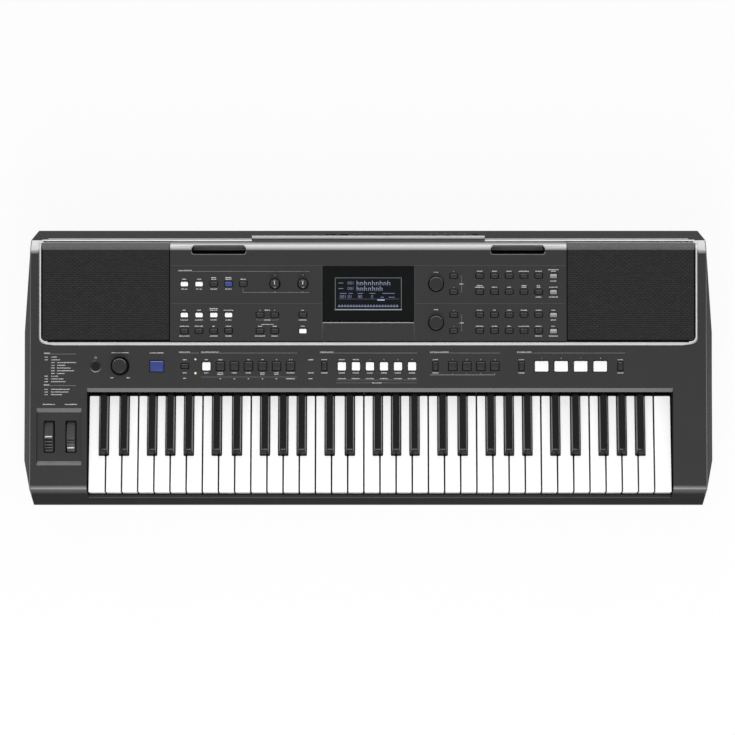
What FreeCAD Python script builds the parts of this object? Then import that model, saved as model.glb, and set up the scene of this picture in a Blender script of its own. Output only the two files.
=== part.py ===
import FreeCAD, Part
import math
import os
from FreeCAD import Placement, Rotation, Vector as V

# An arranger keyboard with 61 keys, in millimetres.
# +X runs to the player's right, +Y away from the player, +Z up.
# The origin is on the table, below the middle of the whole outline.

# Keys
KEY_PITCH = 23.5         # one white key to the next
OCTAVES = 5
KEY_GAP = 0.9            # between white keys
KEY_TOP = 72.0           # height of the white keys' tops
WHITE_SHOW = 143.5       # white key in front of the fallboard
WHITE_THICK = 10.0
WHITE_LIP = 18.0         # height of a white key's front face
LIP_THICK = 4.0
WHITE_CHAMFER = 1.2
KEY_TAIL = 68.0          # hidden behind the fallboard's edge
SHARP_SHOW = 89.0        # black key in front of the fallboard
SHARP_BASE = 13.5
SHARP_TOP = 9.6
SHARP_RISE = 12.0        # above the white keys
SHARP_FOOT = 2.5         # upright part of that rise
SHARP_NOSE = 6.0         # run of the sloping front
SHARP_BACK = 10.0        # raised part behind the fallboard's edge
SHARP_GAP = 0.75
SHARP_SHIFT = {0: -2.8, 1: 3.1, 3: -3.1, 4: 0.0, 5: 3.4}   # from the joint after white key n
PIVOT_INSET = 4.0        # pivot edge to the end of the key tail
PIVOT_RISE = 3.0         # notch in a key's underside
PIVOT_GAP = 0.3

# Case, along Y from the front
RAIL_LIP = 12.5
FALLBOARD = 5.0
LOWER_PANEL = 64.0
ISLAND = 151.0           # raised group with grilles and control panel
REAR_RUN = 36.0
REAR_ROLL = 4.5          # rolled rear edge of the island, in front of the ledge
LEDGE_STEP = 1.0         # island to the ledge
BLOCK_SETBACK = 16.0     # front slope of the end blocks

# Case, along X
LEFT_BLOCK = 83.0
RIGHT_BLOCK = 49.0
WELL_GAP = 3.0           # end block to the outermost key
CAP_WIDTH = 10.0         # end cap outside the case

# Case, heights and walls
FOOT = 4.0
SEAM = 20.0              # joint of upper and lower case
FRONT_EDGE = 16.0
UNDERCUT = 10.0
BLOCK_FRONT = 79.5
RAIL_TOP = 44.0
FALL_DROP = 5.0
LOWER_SLOPE = 7.1
UPPER_SLOPE = 8.9
ISLAND_RISE = 5.5
CREST_INSET = 18.0       # rear chamfer behind the island's surface
LEDGE = 115.0            # top edge of the rear slope
WALL = 3.0
BLOCK_ROUND = 9.0
CREST_ROUND = 10.0
LEDGE_ROUND = 2.0
SEAT_GAP = 0.2           # between pieces that sit on each other

# End cap
RIDGE_SCALE = 0.54       # widest part, as a smaller copy of the case's outline
RIDGE_Y = -95.0          # point that the copy shrinks to
RIDGE_Z = 45.0

# Raised group
STRIP = 13.0             # case beside the trim frame
TRIM = 3.2
TRIM_FRONT = 3.4
TRIM_SLOPE = 1.6
TRIM_BEVEL = 3.8
TRIM_CORNER = 9.0
TRIM_NARROW = 1.9        # front bar before the control panel
GRILLE_GAP = 0.7
GRILLE_DROP = 1.0
PANEL_PROUD = 1.0
PANEL_ROUND = 13.0
PANEL_SKIRT = 3.0
REAR_BEAD = 2.0
BEAD_CLEAR = 12.0

# Display
GLASS_WIDTH = 133.0
GLASS_FROM = 31.9
GLASS_LENGTH = 81.0
GLASS_THICK = 2.0
GLASS_LEDGE = 4.0
LCD_WIDTH = 97.0
LCD_FROM = 49.0
LCD_LENGTH = 47.4
LCD_BOARD = 1.6
LCD_MARGIN = 6.0

# Music-rest slots
SLOT_EDGE = 70.7         # middle of a slot to the panel's side
SLOT_WIDTH = 79.0
SLOT_FROM = 130.1
SLOT_LENGTH = 11.7
SLOT_DEPTH = 16.0
SLOT_WALL = 1.6
SLOT_CORNER = 3.0

# Push buttons: width along X, length along the panel
SMALL = (11.6, 7.3)
SQUARE = (12.8, 12.8)
NARROW = (8.0, 12.8)
PAD = (20.4, 16.0)
LARGE = (20.6, 16.2)
POWER_D = 12.0
POWER_SIDES = 24
POWER_DISH_D = 17.5
POWER_DISH = 1.2
CAP_RISE = 2.4
CAP_TAPER = 0.7
CAP_CLEAR = 0.5          # cap to the edge of its hole
FLANGE = 1.4             # rim that keeps a cap behind its panel
FLANGE_OUT = 1.0
BUTTON_TRAVEL = 1.0
BOARD = 1.6
BOARD_CLEAR = 0.3        # pressed button to the board
BOARD_EDGE = 22.0        # lower board beyond the row
BOARD_RIM = 8.0          # upper boards beyond the outer rows
LOWER_POST_XS = (-335.0, -285.0, -88.0, 80.0, 204.0, 395.0)

# Rows on the raised panel, from its front edge along the slope
ROW_1 = 98.4
ROW_2 = 86.8
ROW_3 = 75.2
ROW_4 = 41.8
ROW_5 = 30.3
ROW_6 = 18.5

# Columns on the raised panel, each from its neighbour, outwards from the display
COLUMN_PITCH = 21.4
MENU_GAP = 28.5
OCTAVE_STEP = 40.8
BANK_COLUMNS = 4
BANK_STEP = 24.4
DIAL_GAP = 31.9
SIDE_STEP = 25.7
VOICE_STEP = 37.8
VOICE_COLUMNS = 5
PANEL_MARGIN = 20.8      # outermost column to the panel's side

# Row on the lower panel, from the end blocks' front edge along the slope
LOWER_ROW = 178.0
LAMP_STEP = 10.0
LAMP_X = -251.4
LAMP_D = 3.2
LAMP_SIDES = 8
SQUARE_PITCH = 20.4
PAD_PITCH = 28.4
POWER_X = -396.5
LARGE_X = -307.5
MODE_X = -266.8
TRANSPORT_X = -235.4
TRACK_X = -38.4
REGISTER_X = 122.8
PADS_X = 252.0
NARROW_XS = (-63.9, 97.7, 222.8, 366.5)

# Rotary controls: diameter of the grip, height, diameter of the skirt
VOLUME = (21.6, 13.0, 27.4)
CONTROL = (14.6, 11.0, 14.6)
DIAL = (21.8, 7.0, 21.8)
VOLUME_X = -361.0
KNOB_CLEAR = 0.6
KNOB_SIDES = 24          # flats around a grip
SKIRT = 3.5
SHAFT = 4.6              # square shaft below a knob
SHAFT_GAP = 0.3          # shaft to the body that it turns in
SHAFT_CLEAR = 0.6
POT_SIZE = 11.0

# Wheels
WHEEL_D = 56.0
WHEEL_SIDES = 48         # flats around a rim
WHEEL_WIDTH = 12.2
WHEEL_PROUD = 9.0
WHEEL_XS = (28.0, 60.0)  # from the left edge of the case
WHEEL_T = 75.5           # from the end block's front edge
WHEEL_SLOT_WIDTH = 16.5
WHEEL_SLOT_LENGTH = 47.0
WHEEL_SLOT_CORNER = 1.5
WHEEL_NOTCH = 3.0
WHEEL_NOTCH_RISE = 0.9
MOD_MARK = 35.0          # the modulation wheel's notch at rest, turned towards the player
RECESS_WIDTH = 65.0
RECESS_LENGTH = 83.0
RECESS_DEPTH = 4.0
RECESS_BEVEL = 6.0
RECESS_EDGE = 10.0       # from the left edge of the case
AXLE_D = 5.0
AXLE_SIDES = 12
AXLE_PLAY = 0.06
BRACKET_PLATE = 2.5
BRACKET_CLEAR = 1.0      # plates to the wheels
BRACKET_BAR = 5.0
BRACKET_SPAN = 33.0      # bars to the wheels' axle
BRACKET_BELOW = 5.5      # plates below the axle

# Loudspeakers
SPEAKER_T = 70.0
SPEAKER_SIDES = 12
SPEAKER_D = 120.0
SPEAKER_SEAT = 8.0       # flange on the case, around its hole
SPEAKER_FLANGE = 3.0
SPEAKER_DEPTH = 36.0
SPEAKER_TAPER = 0.6      # back of the basket to its flange
SPEAKER_SHEET = 1.5
CONE_RIM = 10.0          # flange outside the cone
CONE_DEPTH = 24.0
CONE_COIL_D = 26.0
MAGNET_INSET = 4.0       # from the basket's back edge
MAGNET_THICK = 16.0

# Rear panel and its sockets, from the ledge down the rear slope
REAR_LIP = 4.0           # upper case below the ledge
JACK_PAD_WIDTH = 340.0
JACK_PAD_FROM = 1.0
JACK_PAD_LENGTH = 58.0
JACK_PAD_PROUD = 4.0
JACK_S = 30.0
PLUG_BORE = 3.3
JACK_BODY = (15.0, 15.0, 24.0)
JACK_NOSE = 1.0          # proud of the pad
JACK_HOLE_D = 13.0
JACK_HOLE_SIDES = 12
JACK_XS = (-15.7, 28.7, 96.4, 116.7, 137.8)
MINI_X = 5.4
MINI_BORE = 1.85
MINI_DEPTH = 12.0
MINI_BODY = (9.0, 9.0, 14.0)
MINI_HOLE_D = 8.0
DC_X = 157.5
DC_BORE = 2.9
DC_PIN = 1.8
DC_DEPTH = 10.0
DC_BODY = (12.0, 12.0, 14.0)
DC_HOLE_D = 11.0
USB_B_X = -35.4
USB_B = (8.6, 7.9)
USB_A_X = -55.7
USB_A = (12.6, 5.2)
USB_SHELL = 0.8
USB_DEPTH = 11.0

# Inside
FRAME_Z = 24.0
FRAME_PLATE = 3.0
FRAME_MARGIN = 1.0
FELT = 3.0
STOP_WIDTH = 9.0
WHITE_STOP_IN = 11.0     # from the white keys' fronts
SHARP_STOP_IN = 9.0
STOP_REACH_WHITE = 20.0  # stop below the white keys' tops
STOP_REACH_SHARP = 18.0
CONTACT_FROM = 10.0      # in front of the fallboard's edge
CONTACT_LENGTH = 36.0
CONTACT_Z = 46.0
CONTACT_RIB = 4.0
RUBBER_LENGTH = 12.0
RUBBER_BASE = 1.5
RUBBER_RISE = 9.0
DOME = 6.0
HOLD_DOWN = 3.0
HOLD_GAP = 0.6
RAIL_WIDTH = 12.0
MAIN_BOARD = (320.0, 90.0)
MAIN_BOARD_Y = 105.0
MAIN_BOARD_Z = 22.0
POST = 8.0
BOSS = 10.0
SCREW_D = 3.0
SCREW_SIDES = 6
SCREW_PLAY = 0.05
SCREW_HEAD_D = 6.4
SCREW_HEAD = 2.4
SCREW_LENGTH = 26.0
FOOT_D = 20.0
FOOT_SIDES = 16
FOOT_IN = 40.0

# Worked out from the sizes above
WHITE_COUNT = 7 * OCTAVES + 1
DEPTH = RAIL_LIP + WHITE_SHOW + FALLBOARD + LOWER_PANEL + ISLAND + REAR_RUN
Y_FRONT = -DEPTH / 2
Y_REAR = DEPTH / 2
Y_KEYS = Y_FRONT + RAIL_LIP
Y_FALL = Y_KEYS + WHITE_SHOW
Y_LIP = Y_FALL + FALLBOARD
Y_BEND = Y_LIP + LOWER_PANEL
Y_ISLAND_REAR = Y_BEND + ISLAND
Y_BLOCK = Y_FRONT + BLOCK_SETBACK
Y_TAIL = Y_FALL + KEY_TAIL
Y_PIVOT = Y_TAIL - PIVOT_INSET
Y_SHARP = Y_FALL - SHARP_SHOW
KEY_BOTTOM = KEY_TOP - WHITE_THICK
PIVOT_Z = KEY_BOTTOM + PIVOT_RISE
KEY_SPAN = WHITE_COUNT * KEY_PITCH
TOP_HALF = (LEFT_BLOCK + RIGHT_BLOCK + KEY_SPAN + 2 * WELL_GAP) / 2
WELL_LEFT = -TOP_HALF + LEFT_BLOCK
WELL_RIGHT = TOP_HALF - RIGHT_BLOCK
KEYS_LEFT = WELL_LEFT + WELL_GAP
Z_BEND = BLOCK_FRONT + (Y_BEND - Y_BLOCK) * math.tan(math.radians(LOWER_SLOPE))
Z_LIP = BLOCK_FRONT + (Y_LIP - Y_BLOCK) * math.tan(math.radians(LOWER_SLOPE))
Y_CREST = Y_ISLAND_REAR - CREST_INSET
Z_CREST = Z_BEND + (Y_CREST - Y_BEND) * math.tan(math.radians(UPPER_SLOPE))
Y_LEDGE = Y_ISLAND_REAR + LEDGE_STEP
MENU_COLUMN = -GLASS_WIDTH / 2 - MENU_GAP
OCTAVE_COLUMN = MENU_COLUMN - OCTAVE_STEP - COLUMN_PITCH
LEFT_COLUMN = OCTAVE_COLUMN - BANK_STEP - BANK_COLUMNS * COLUMN_PITCH
DIAL_X = GLASS_WIDTH / 2 + DIAL_GAP
SIDE_COLUMN = DIAL_X + SIDE_STEP
VOICE_COLUMN = SIDE_COLUMN + VOICE_STEP
CONTROL_XS = (OCTAVE_COLUMN + COLUMN_PITCH, MENU_COLUMN)
UPPER_POST_XS = (
    LEFT_COLUMN + 1.5 * COLUMN_PITCH,
    (CONTROL_XS[0] + CONTROL_XS[1]) / 2,
    (SIDE_COLUMN + VOICE_COLUMN) / 2,
    VOICE_COLUMN + 3.5 * COLUMN_PITCH,
)
PANEL_HALF = PANEL_MARGIN - LEFT_COLUMN
SLOT_X = PANEL_HALF - SLOT_EDGE
TRIM_HALF = TOP_HALF - STRIP
GRILLE_HALF = TRIM_HALF - TRIM - GRILLE_GAP
GRILLE_INNER = PANEL_HALF + GRILLE_GAP
GRILLE_FROM = TRIM_FRONT + GRILLE_GAP
PANEL_FROM = TRIM_NARROW + GRILLE_GAP
ISLAND_T = (ISLAND - REAR_ROLL) / math.cos(math.radians(UPPER_SLOPE))
SPEAKER_X = (GRILLE_INNER + GRILLE_HALF) / 2
SPEAKER_HOLE_D = SPEAKER_D - 2 * SPEAKER_SEAT
SPEAKER_BACK_D = SPEAKER_D * SPEAKER_TAPER
CONE_D = SPEAKER_D - 2 * CONE_RIM
MAGNET_D = SPEAKER_BACK_D - 2 * MAGNET_INSET
FAR = 2 * DEPTH

TILT = V(1, 0, 0)
LOWER = Placement(V(0, Y_BLOCK, BLOCK_FRONT), Rotation(TILT, LOWER_SLOPE))
BEND = Placement(V(0, Y_BEND, Z_BEND), Rotation(TILT, UPPER_SLOPE))
UPPER = BEND.multiply(Placement(V(0, 0, ISLAND_RISE), Rotation()))
REAR_SLOPE = math.degrees(math.atan2(Y_REAR - Y_LEDGE, LEDGE - SEAM))
REAR = Placement(V(0, Y_LEDGE, LEDGE), Rotation(TILT, -(90 - REAR_SLOPE)))


# Shapes

def closed_wire(corners, to_space):
    """Closed wire through corners (a, b) or (a, b, radius)."""
    points = [V(c[0], c[1], 0) for c in corners]
    spans = []
    for i, corner in enumerate(corners):
        point = points[i]
        if len(corner) == 2:
            spans.append((point, None, point))
            continue
        back = (points[i - 1] - point).normalize()
        ahead = (points[(i + 1) % len(points)] - point).normalize()
        half = back.getAngle(ahead) / 2
        reach = corner[2] / math.tan(half)
        inward = (back + ahead).normalize()
        middle = point + inward * (corner[2] / math.sin(half) - corner[2])
        spans.append((point + back * reach, middle, point + ahead * reach))
    edges = []
    for i, (start, middle, end) in enumerate(spans):
        if middle is not None:
            edges.append(Part.Arc(to_space(start), to_space(middle), to_space(end)).toShape())
        after = spans[(i + 1) % len(spans)][0]
        edges.append(Part.LineSegment(to_space(end), to_space(after)).toShape())
    return Part.Wire(edges)


def side_wire(corners, x):
    """Side view corners (y, z) as a wire at one x."""
    return closed_wire(corners, lambda p: V(x, p.x, p.y))


def prism_x(corners, x0, x1):
    return Part.Face(side_wire(corners, x0)).extrude(V(x1 - x0, 0, 0))


def prism_y(corners, y0, y1):
    """Front view corners (x, z) drawn out along y."""
    wire = closed_wire(corners, lambda p: V(p.x, y0, p.y))
    return Part.Face(wire).extrude(V(0, y1 - y0, 0))


def prism_z(corners, z0, z1):
    """Plan corners (x, y) drawn out along z."""
    wire = closed_wire(corners, lambda p: V(p.x, p.y, z0))
    return Part.Face(wire).extrude(V(0, 0, z1 - z0))


def box(x0, x1, y0, y1, z0, z1):
    return Part.makeBox(x1 - x0, y1 - y0, z1 - z0, V(x0, y0, z0))


def block(x, y, width, length, z0, z1):
    """Upright box centred on x and y."""
    return box(x - width / 2, x + width / 2, y - length / 2, y + length / 2, z0, z1)


def rod(x, y, diameter, z0, z1):
    return Part.makeCylinder(diameter / 2, z1 - z0, V(x, y, z0))


def many_sided(x, y, diameter, sides, z0, z1):
    """Upright prism with flat sides, inscribed in a circle."""
    return prism_z(ring_points(x, y, diameter, sides), z0, z1)


def ring_points(x, y, diameter, sides):
    angles = [2 * math.pi * (i + 0.5) / sides for i in range(sides)]
    return [(x + diameter / 2 * math.cos(a), y + diameter / 2 * math.sin(a)) for a in angles]


def frustum(low, high):
    """Solid between two matching rings of points, with flat sides."""
    def face(points):
        return Part.Face(Part.makePolygon(points + points[:1]))

    sides = [face([low[i - 1], low[i], high[i], high[i - 1]]) for i in range(len(low))]
    shell = Part.makeShell([face(low), face(high)] + sides)
    shell.sewShape()
    solid = Part.makeSolid(shell)
    if solid.Volume < 0:
        solid.reverse()
    return solid


def chamfered_box(x, y, width, length, corner, z0, z1):
    """Upright box with its four upright edges cut off."""
    a = width / 2
    b = length / 2
    c = corner
    corners = [
        (x - a + c, y - b), (x + a - c, y - b), (x + a, y - b + c), (x + a, y + b - c),
        (x + a - c, y + b), (x - a + c, y + b), (x - a, y + b - c), (x - a, y - b + c),
    ]
    return prism_z(corners, z0, z1)


def placed(frame, shape):
    moved = shape.copy()
    moved.Placement = frame.multiply(shape.Placement)
    return moved


def joined(shapes):
    return shapes[0].multiFuse(shapes[1:]).removeSplitter()


# Side view of the whole case

def case_corners():
    return [
        (Y_FRONT + UNDERCUT, FOOT),
        (Y_FRONT, FRONT_EDGE),
        (Y_BLOCK, BLOCK_FRONT, BLOCK_ROUND),
        (Y_BEND, Z_BEND),
        (Y_CREST, Z_CREST, CREST_ROUND),
        (Y_LEDGE, LEDGE, LEDGE_ROUND),
        (Y_REAR, SEAM),
        (Y_REAR - UNDERCUT, FOOT),
    ]


def case_solid(offset, half):
    """The case filled in, grown or shrunk by an offset, out to +-half along X."""
    face = Part.Face(side_wire(case_corners(), -half))
    if offset:
        face = face.makeOffset2D(offset)
    return face.extrude(V(2 * half, 0, 0))


def case_shell():
    return case_solid(0, TOP_HALF).cut(case_solid(-WALL, TOP_HALF - WALL))


# Push buttons and rotary controls: where they are

def row(x, t, count, size, pitch):
    return [(x + i * pitch, t, size) for i in range(count)]


def upper_column(n):
    return LEFT_COLUMN + n * COLUMN_PITCH


UPPER_BUTTONS = {
    "left_white_buttons": row(LEFT_COLUMN, ROW_2, 2, SMALL, COLUMN_PITCH)
    + row(LEFT_COLUMN, ROW_4, BANK_COLUMNS, SMALL, COLUMN_PITCH)
    + row(MENU_COLUMN, ROW_6, 1, SMALL, COLUMN_PITCH),
    "left_dark_buttons": row(upper_column(2), ROW_2, 2, SMALL, 2 * COLUMN_PITCH)
    + row(LEFT_COLUMN, ROW_6, BANK_COLUMNS, SMALL, COLUMN_PITCH)
    + row(OCTAVE_COLUMN, ROW_4, 2, SMALL, COLUMN_PITCH)
    + row(OCTAVE_COLUMN, ROW_6, 2, SMALL, COLUMN_PITCH)
    + row(MENU_COLUMN, ROW_4, 1, SMALL, COLUMN_PITCH),
    "motion_button": row(upper_column(3), ROW_2, 1, SMALL, COLUMN_PITCH),
    "dial_side_buttons": [(SIDE_COLUMN, t, SMALL) for t in (ROW_1, ROW_3, ROW_4, ROW_6)],
    "voice_buttons": row(VOICE_COLUMN, ROW_1, VOICE_COLUMNS, SMALL, COLUMN_PITCH)
    + row(VOICE_COLUMN, ROW_3, VOICE_COLUMNS, SMALL, COLUMN_PITCH),
    "style_buttons": row(VOICE_COLUMN, ROW_4, VOICE_COLUMNS, SMALL, COLUMN_PITCH)
    + row(VOICE_COLUMN, ROW_6, VOICE_COLUMNS, SMALL, COLUMN_PITCH),
    "function_buttons": [
        (VOICE_COLUMN + VOICE_COLUMNS * COLUMN_PITCH, t, SMALL) for t in (ROW_1, ROW_3, ROW_4, ROW_6)
    ],
}
LOWER_BUTTONS = {
    "articulation_button": [(LARGE_X, LOWER_ROW, LARGE)],
    "transport_buttons": [(MODE_X, LOWER_ROW, SMALL)]
    + row(TRANSPORT_X + SQUARE_PITCH, LOWER_ROW, 6, SQUARE, SQUARE_PITCH),
    "lower_white_buttons": [(TRANSPORT_X, LOWER_ROW, SQUARE)]
    + row(TRACK_X, LOWER_ROW, 6, SQUARE, SQUARE_PITCH),
    "registration_buttons": row(REGISTER_X, LOWER_ROW, 4, SQUARE, SQUARE_PITCH),
    "narrow_buttons": [(x, LOWER_ROW, NARROW) for x in NARROW_XS],
    "pads": row(PADS_X, LOWER_ROW, 4, PAD, PAD_PITCH),
}
LOWER_KNOBS = {"volume_knob": (VOLUME_X, LOWER_ROW, VOLUME)}
UPPER_KNOBS = {
    "control_knob_left": (CONTROL_XS[0], ROW_2, CONTROL),
    "control_knob_right": (CONTROL_XS[1], ROW_2, CONTROL),
    "voice_dial": (DIAL_X, ROW_2, DIAL),
    "style_dial": (DIAL_X, ROW_5, DIAL),
}
LAMP_TS = (LOWER_ROW - LAMP_STEP, LOWER_ROW + LAMP_STEP)
CAP_DEPTH = WALL + SEAT_GAP + FLANGE
BOARD_TOP = CAP_DEPTH + BUTTON_TRAVEL + BOARD_CLEAR


def button_hole(x, t, size, surface):
    clear = 2 * CAP_CLEAR
    return block(x, t, size[0] + clear, size[1] + clear, surface - 2 * WALL, surface + WALL)


def button(x, t, size, surface):
    """Tapered cap with a rim behind the panel, in the panel's own frame."""
    low = surface - WALL - SEAT_GAP
    high = surface + CAP_RISE

    def outline(inset, z):
        a = size[0] / 2 - inset
        b = size[1] / 2 - inset
        return [V(x - a, t - b, z), V(x + a, t - b, z), V(x + a, t + b, z), V(x - a, t + b, z)]

    cap = frustum(outline(0, low), outline(CAP_TAPER, high))
    rim = 2 * FLANGE_OUT
    return cap.fuse(block(x, t, size[0] + rim, size[1] + rim, low - FLANGE, low))


def button_group(buttons, frame, surface):
    return Part.makeCompound([placed(frame, button(*b, surface)) for b in buttons])


def power_button():
    low = -WALL - SEAT_GAP
    rim = POWER_D + 2 * FLANGE_OUT
    cap = many_sided(POWER_X, LOWER_ROW, POWER_D, POWER_SIDES, low, CAP_TAPER)
    return placed(LOWER, cap.fuse(block(POWER_X, LOWER_ROW, rim, rim, low - FLANGE, low)))


def power_cut():
    """Hole of the power button in its shallow dish."""
    hole = rod(POWER_X, LOWER_ROW, POWER_D + 2 * CAP_CLEAR, -2 * WALL, WALL)
    return hole.fuse(rod(POWER_X, LOWER_ROW, POWER_DISH_D, -POWER_DISH, WALL))


def knob(x, t, size, surface):
    """Grip on a skirt, with the square shaft that reaches through the panel."""
    grip, height, skirt = size
    low = surface + KNOB_CLEAR
    end = surface - WALL - SEAT_GAP + SHAFT_GAP
    pieces = [
        many_sided(x, t, grip, KNOB_SIDES, low, low + height),
        block(x, t, SHAFT, SHAFT, end, low + SKIRT),
    ]
    if skirt > grip:
        pieces.append(many_sided(x, t, skirt, KNOB_SIDES, low, low + SKIRT))
    return joined(pieces)


def knob_hole(x, t, surface):
    """Square hole in which the shaft's corners turn freely."""
    side = SHAFT * math.sqrt(2) + 2 * SHAFT_CLEAR
    return block(x, t, side, side, surface - 2 * WALL, surface + WALL)


def potentiometer(x, t, surface):
    """Body on the panel board, below a knob's shaft."""
    foot = surface - BOARD_TOP
    return block(x, t, POT_SIZE, POT_SIZE, foot, surface - WALL - SEAT_GAP)


def potentiometers():
    lower = [placed(LOWER, potentiometer(x, t, 0)) for x, t, size in LOWER_KNOBS.values()]
    upper = [placed(UPPER, potentiometer(x, t, PANEL_PROUD)) for x, t, size in UPPER_KNOBS.values()]
    return Part.makeCompound(lower + upper)


def indicator_lamps():
    lamps = [many_sided(LAMP_X, t, LAMP_D, LAMP_SIDES, -BOARD_TOP, SEAT_GAP) for t in LAMP_TS]
    return Part.makeCompound([placed(LOWER, lamp) for lamp in lamps])


# Wheels

def wheel_xs():
    return [-TOP_HALF + x for x in WHEEL_XS]


WHEEL_N = -RECESS_DEPTH + WHEEL_PROUD - WHEEL_D / 2
RECESS_X = -TOP_HALF + RECESS_EDGE + RECESS_WIDTH / 2


def wheel_axle_frame():
    """Frame whose Z is the wheels' axle."""
    return LOWER.multiply(Placement(V(0, WHEEL_T, WHEEL_N), Rotation(V(0, 1, 0), 90)))


def wheel(x, mark):
    """Wheel with a finger notch turned by mark degrees from the top."""
    half = WHEEL_WIDTH / 2
    radius = WHEEL_D / 2
    bore = rod(0, 0, AXLE_D + 2 * AXLE_PLAY, x - half, x + half)
    notch = box(-radius - WHEEL_NOTCH, -radius + WHEEL_NOTCH_RISE, -WHEEL_NOTCH / 2, WHEEL_NOTCH / 2,
                x - half, x + half)
    notch.rotate(V(0, 0, 0), V(0, 0, 1), mark)
    rim = many_sided(0, 0, WHEEL_D, WHEEL_SIDES, x - half, x + half)
    return placed(wheel_axle_frame(), rim.cut([bore, notch]))


def wheel_box():
    """Bracket below the recess: three plates, two cross bars and an axle for both wheels."""
    left, right = wheel_xs()
    beside = (WHEEL_WIDTH + BRACKET_PLATE) / 2 + BRACKET_CLEAR
    x0 = left - beside
    x1 = right + beside
    top = -RECESS_DEPTH - WALL - SEAT_GAP
    low = WHEEL_N - BRACKET_BELOW
    span = BRACKET_SPAN
    plates = [
        box(x - BRACKET_PLATE / 2, x + BRACKET_PLATE / 2, WHEEL_T - span, WHEEL_T + span, low, top)
        for x in (x0, (left + right) / 2, x1)
    ]
    bars = [
        box(x0, x1, WHEEL_T - span, WHEEL_T - span + BRACKET_BAR, top - BRACKET_BAR, top),
        box(x0, x1, WHEEL_T + span - BRACKET_BAR, WHEEL_T + span, top - BRACKET_BAR, top),
    ]
    bracket = placed(LOWER, joined(plates + bars))
    half = BRACKET_PLATE / 2
    axle = many_sided(0, 0, AXLE_D, AXLE_SIDES, x0 - half, x1 + half)
    return bracket.fuse(placed(wheel_axle_frame(), axle))


def wheel_recess_floor():
    """Thicker wall below the recess."""
    return block(RECESS_X, WHEEL_T, RECESS_WIDTH + WALL, RECESS_LENGTH + WALL,
                 -RECESS_DEPTH - WALL, -WALL / 2)


def wheel_recess_cut():
    half = RECESS_LENGTH / 2
    corners = [
        (WHEEL_T - half, 0),
        (WHEEL_T - half, WALL),
        (WHEEL_T + half, WALL),
        (WHEEL_T + half, 0),
        (WHEEL_T + half - RECESS_BEVEL, -RECESS_DEPTH),
        (WHEEL_T - half + RECESS_BEVEL, -RECESS_DEPTH),
    ]
    recess = prism_x(corners, RECESS_X - RECESS_WIDTH / 2, RECESS_X + RECESS_WIDTH / 2)
    slots = [
        chamfered_box(x, WHEEL_T, WHEEL_SLOT_WIDTH, WHEEL_SLOT_LENGTH, WHEEL_SLOT_CORNER,
                    -RECESS_DEPTH - 2 * WALL, 0)
        for x in wheel_xs()
    ]
    return [recess] + slots


# Case pieces

def key_well():
    """Space above the keys, with the fallboard's bevel behind."""
    corners = [
        (Y_KEYS - SEAT_GAP, RAIL_TOP),
        (Y_FRONT - WALL, RAIL_TOP),
        (Y_FRONT - WALL, FAR),
        (Y_LIP, FAR),
        (Y_LIP, Z_LIP),
        (Y_FALL, Z_LIP - FALL_DROP),
        (Y_FALL, RAIL_TOP),
    ]
    return prism_x(corners, WELL_LEFT, WELL_RIGHT)


def fallboard():
    thick = WALL / math.cos(math.radians(LOWER_SLOPE))
    corners = [
        (Y_LIP, Z_LIP),
        (Y_FALL, Z_LIP - FALL_DROP),
        (Y_FALL + WALL, Z_LIP - FALL_DROP),
        (Y_LIP + WALL, Z_LIP - thick),
        (Y_LIP + WALL, Z_LIP),
    ]
    return prism_x(corners, WELL_LEFT, WELL_RIGHT)


def block_walls():
    """Inner walls of the two end blocks, beside the keys."""
    full = case_solid(0, TOP_HALF)
    walls = [
        box(WELL_LEFT - WALL, WELL_LEFT, Y_FRONT, Y_LIP + WALL, SEAM, FAR),
        box(WELL_RIGHT, WELL_RIGHT + WALL, Y_FRONT, Y_LIP + WALL, SEAM, FAR),
    ]
    return [full.common(wall) for wall in walls]


def front_rail():
    """Flange along the top of the front wall, below the keys' fronts."""
    corners = [
        (Y_FRONT + WALL / 2, RAIL_TOP - WALL),
        (Y_KEYS - SEAT_GAP, RAIL_TOP - WALL),
        (Y_KEYS - SEAT_GAP, RAIL_TOP),
        (Y_FRONT + WALL / 2, RAIL_TOP),
    ]
    return prism_x(corners, WELL_LEFT, WELL_RIGHT).common(case_solid(0, TOP_HALF))


def panel_opening():
    """Opening of the case below the control panel, up to the strip that carries the panel's rear edge."""
    rim = 2 * PANEL_SKIRT + FLANGE_OUT
    far = SLOT_FROM + SLOT_LENGTH + 2 * SLOT_WALL
    return box(-PANEL_HALF + rim, PANEL_HALF - rim, PANEL_FROM + rim, far, -FAR / 8, WALL)


def rear_holes():
    """Holes of the rear sockets through the pad and the wall, in the rear frame."""
    deep = -2 * WALL
    high = 2 * JACK_PAD_PROUD
    holes = [many_sided(x, JACK_S, JACK_HOLE_D, JACK_HOLE_SIDES, deep, high) for x in JACK_XS]
    for x, diameter in ((MINI_X, MINI_HOLE_D), (DC_X, DC_HOLE_D)):
        holes.append(many_sided(x, JACK_S, diameter, LAMP_SIDES, deep, high))
    for x, size in ((USB_B_X, USB_B), (USB_A_X, USB_A)):
        holes.append(block(x, JACK_S, size[0] + 4 * USB_SHELL, size[1] + 4 * USB_SHELL, deep, high))
    return holes


def jack_pad():
    """Raised field around the sockets; its upper edge laps over the ledge."""
    far = JACK_PAD_FROM + JACK_PAD_LENGTH
    corners = [
        (JACK_PAD_FROM, SEAT_GAP),
        (JACK_PAD_FROM, JACK_PAD_PROUD),
        (far - JACK_PAD_PROUD, JACK_PAD_PROUD),
        (far, 0),
        (far, -WALL / 2),
        (REAR_LIP, -WALL / 2),
        (REAR_LIP, SEAT_GAP),
    ]
    return prism_x(corners, -JACK_PAD_WIDTH / 2, JACK_PAD_WIDTH / 2)


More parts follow.
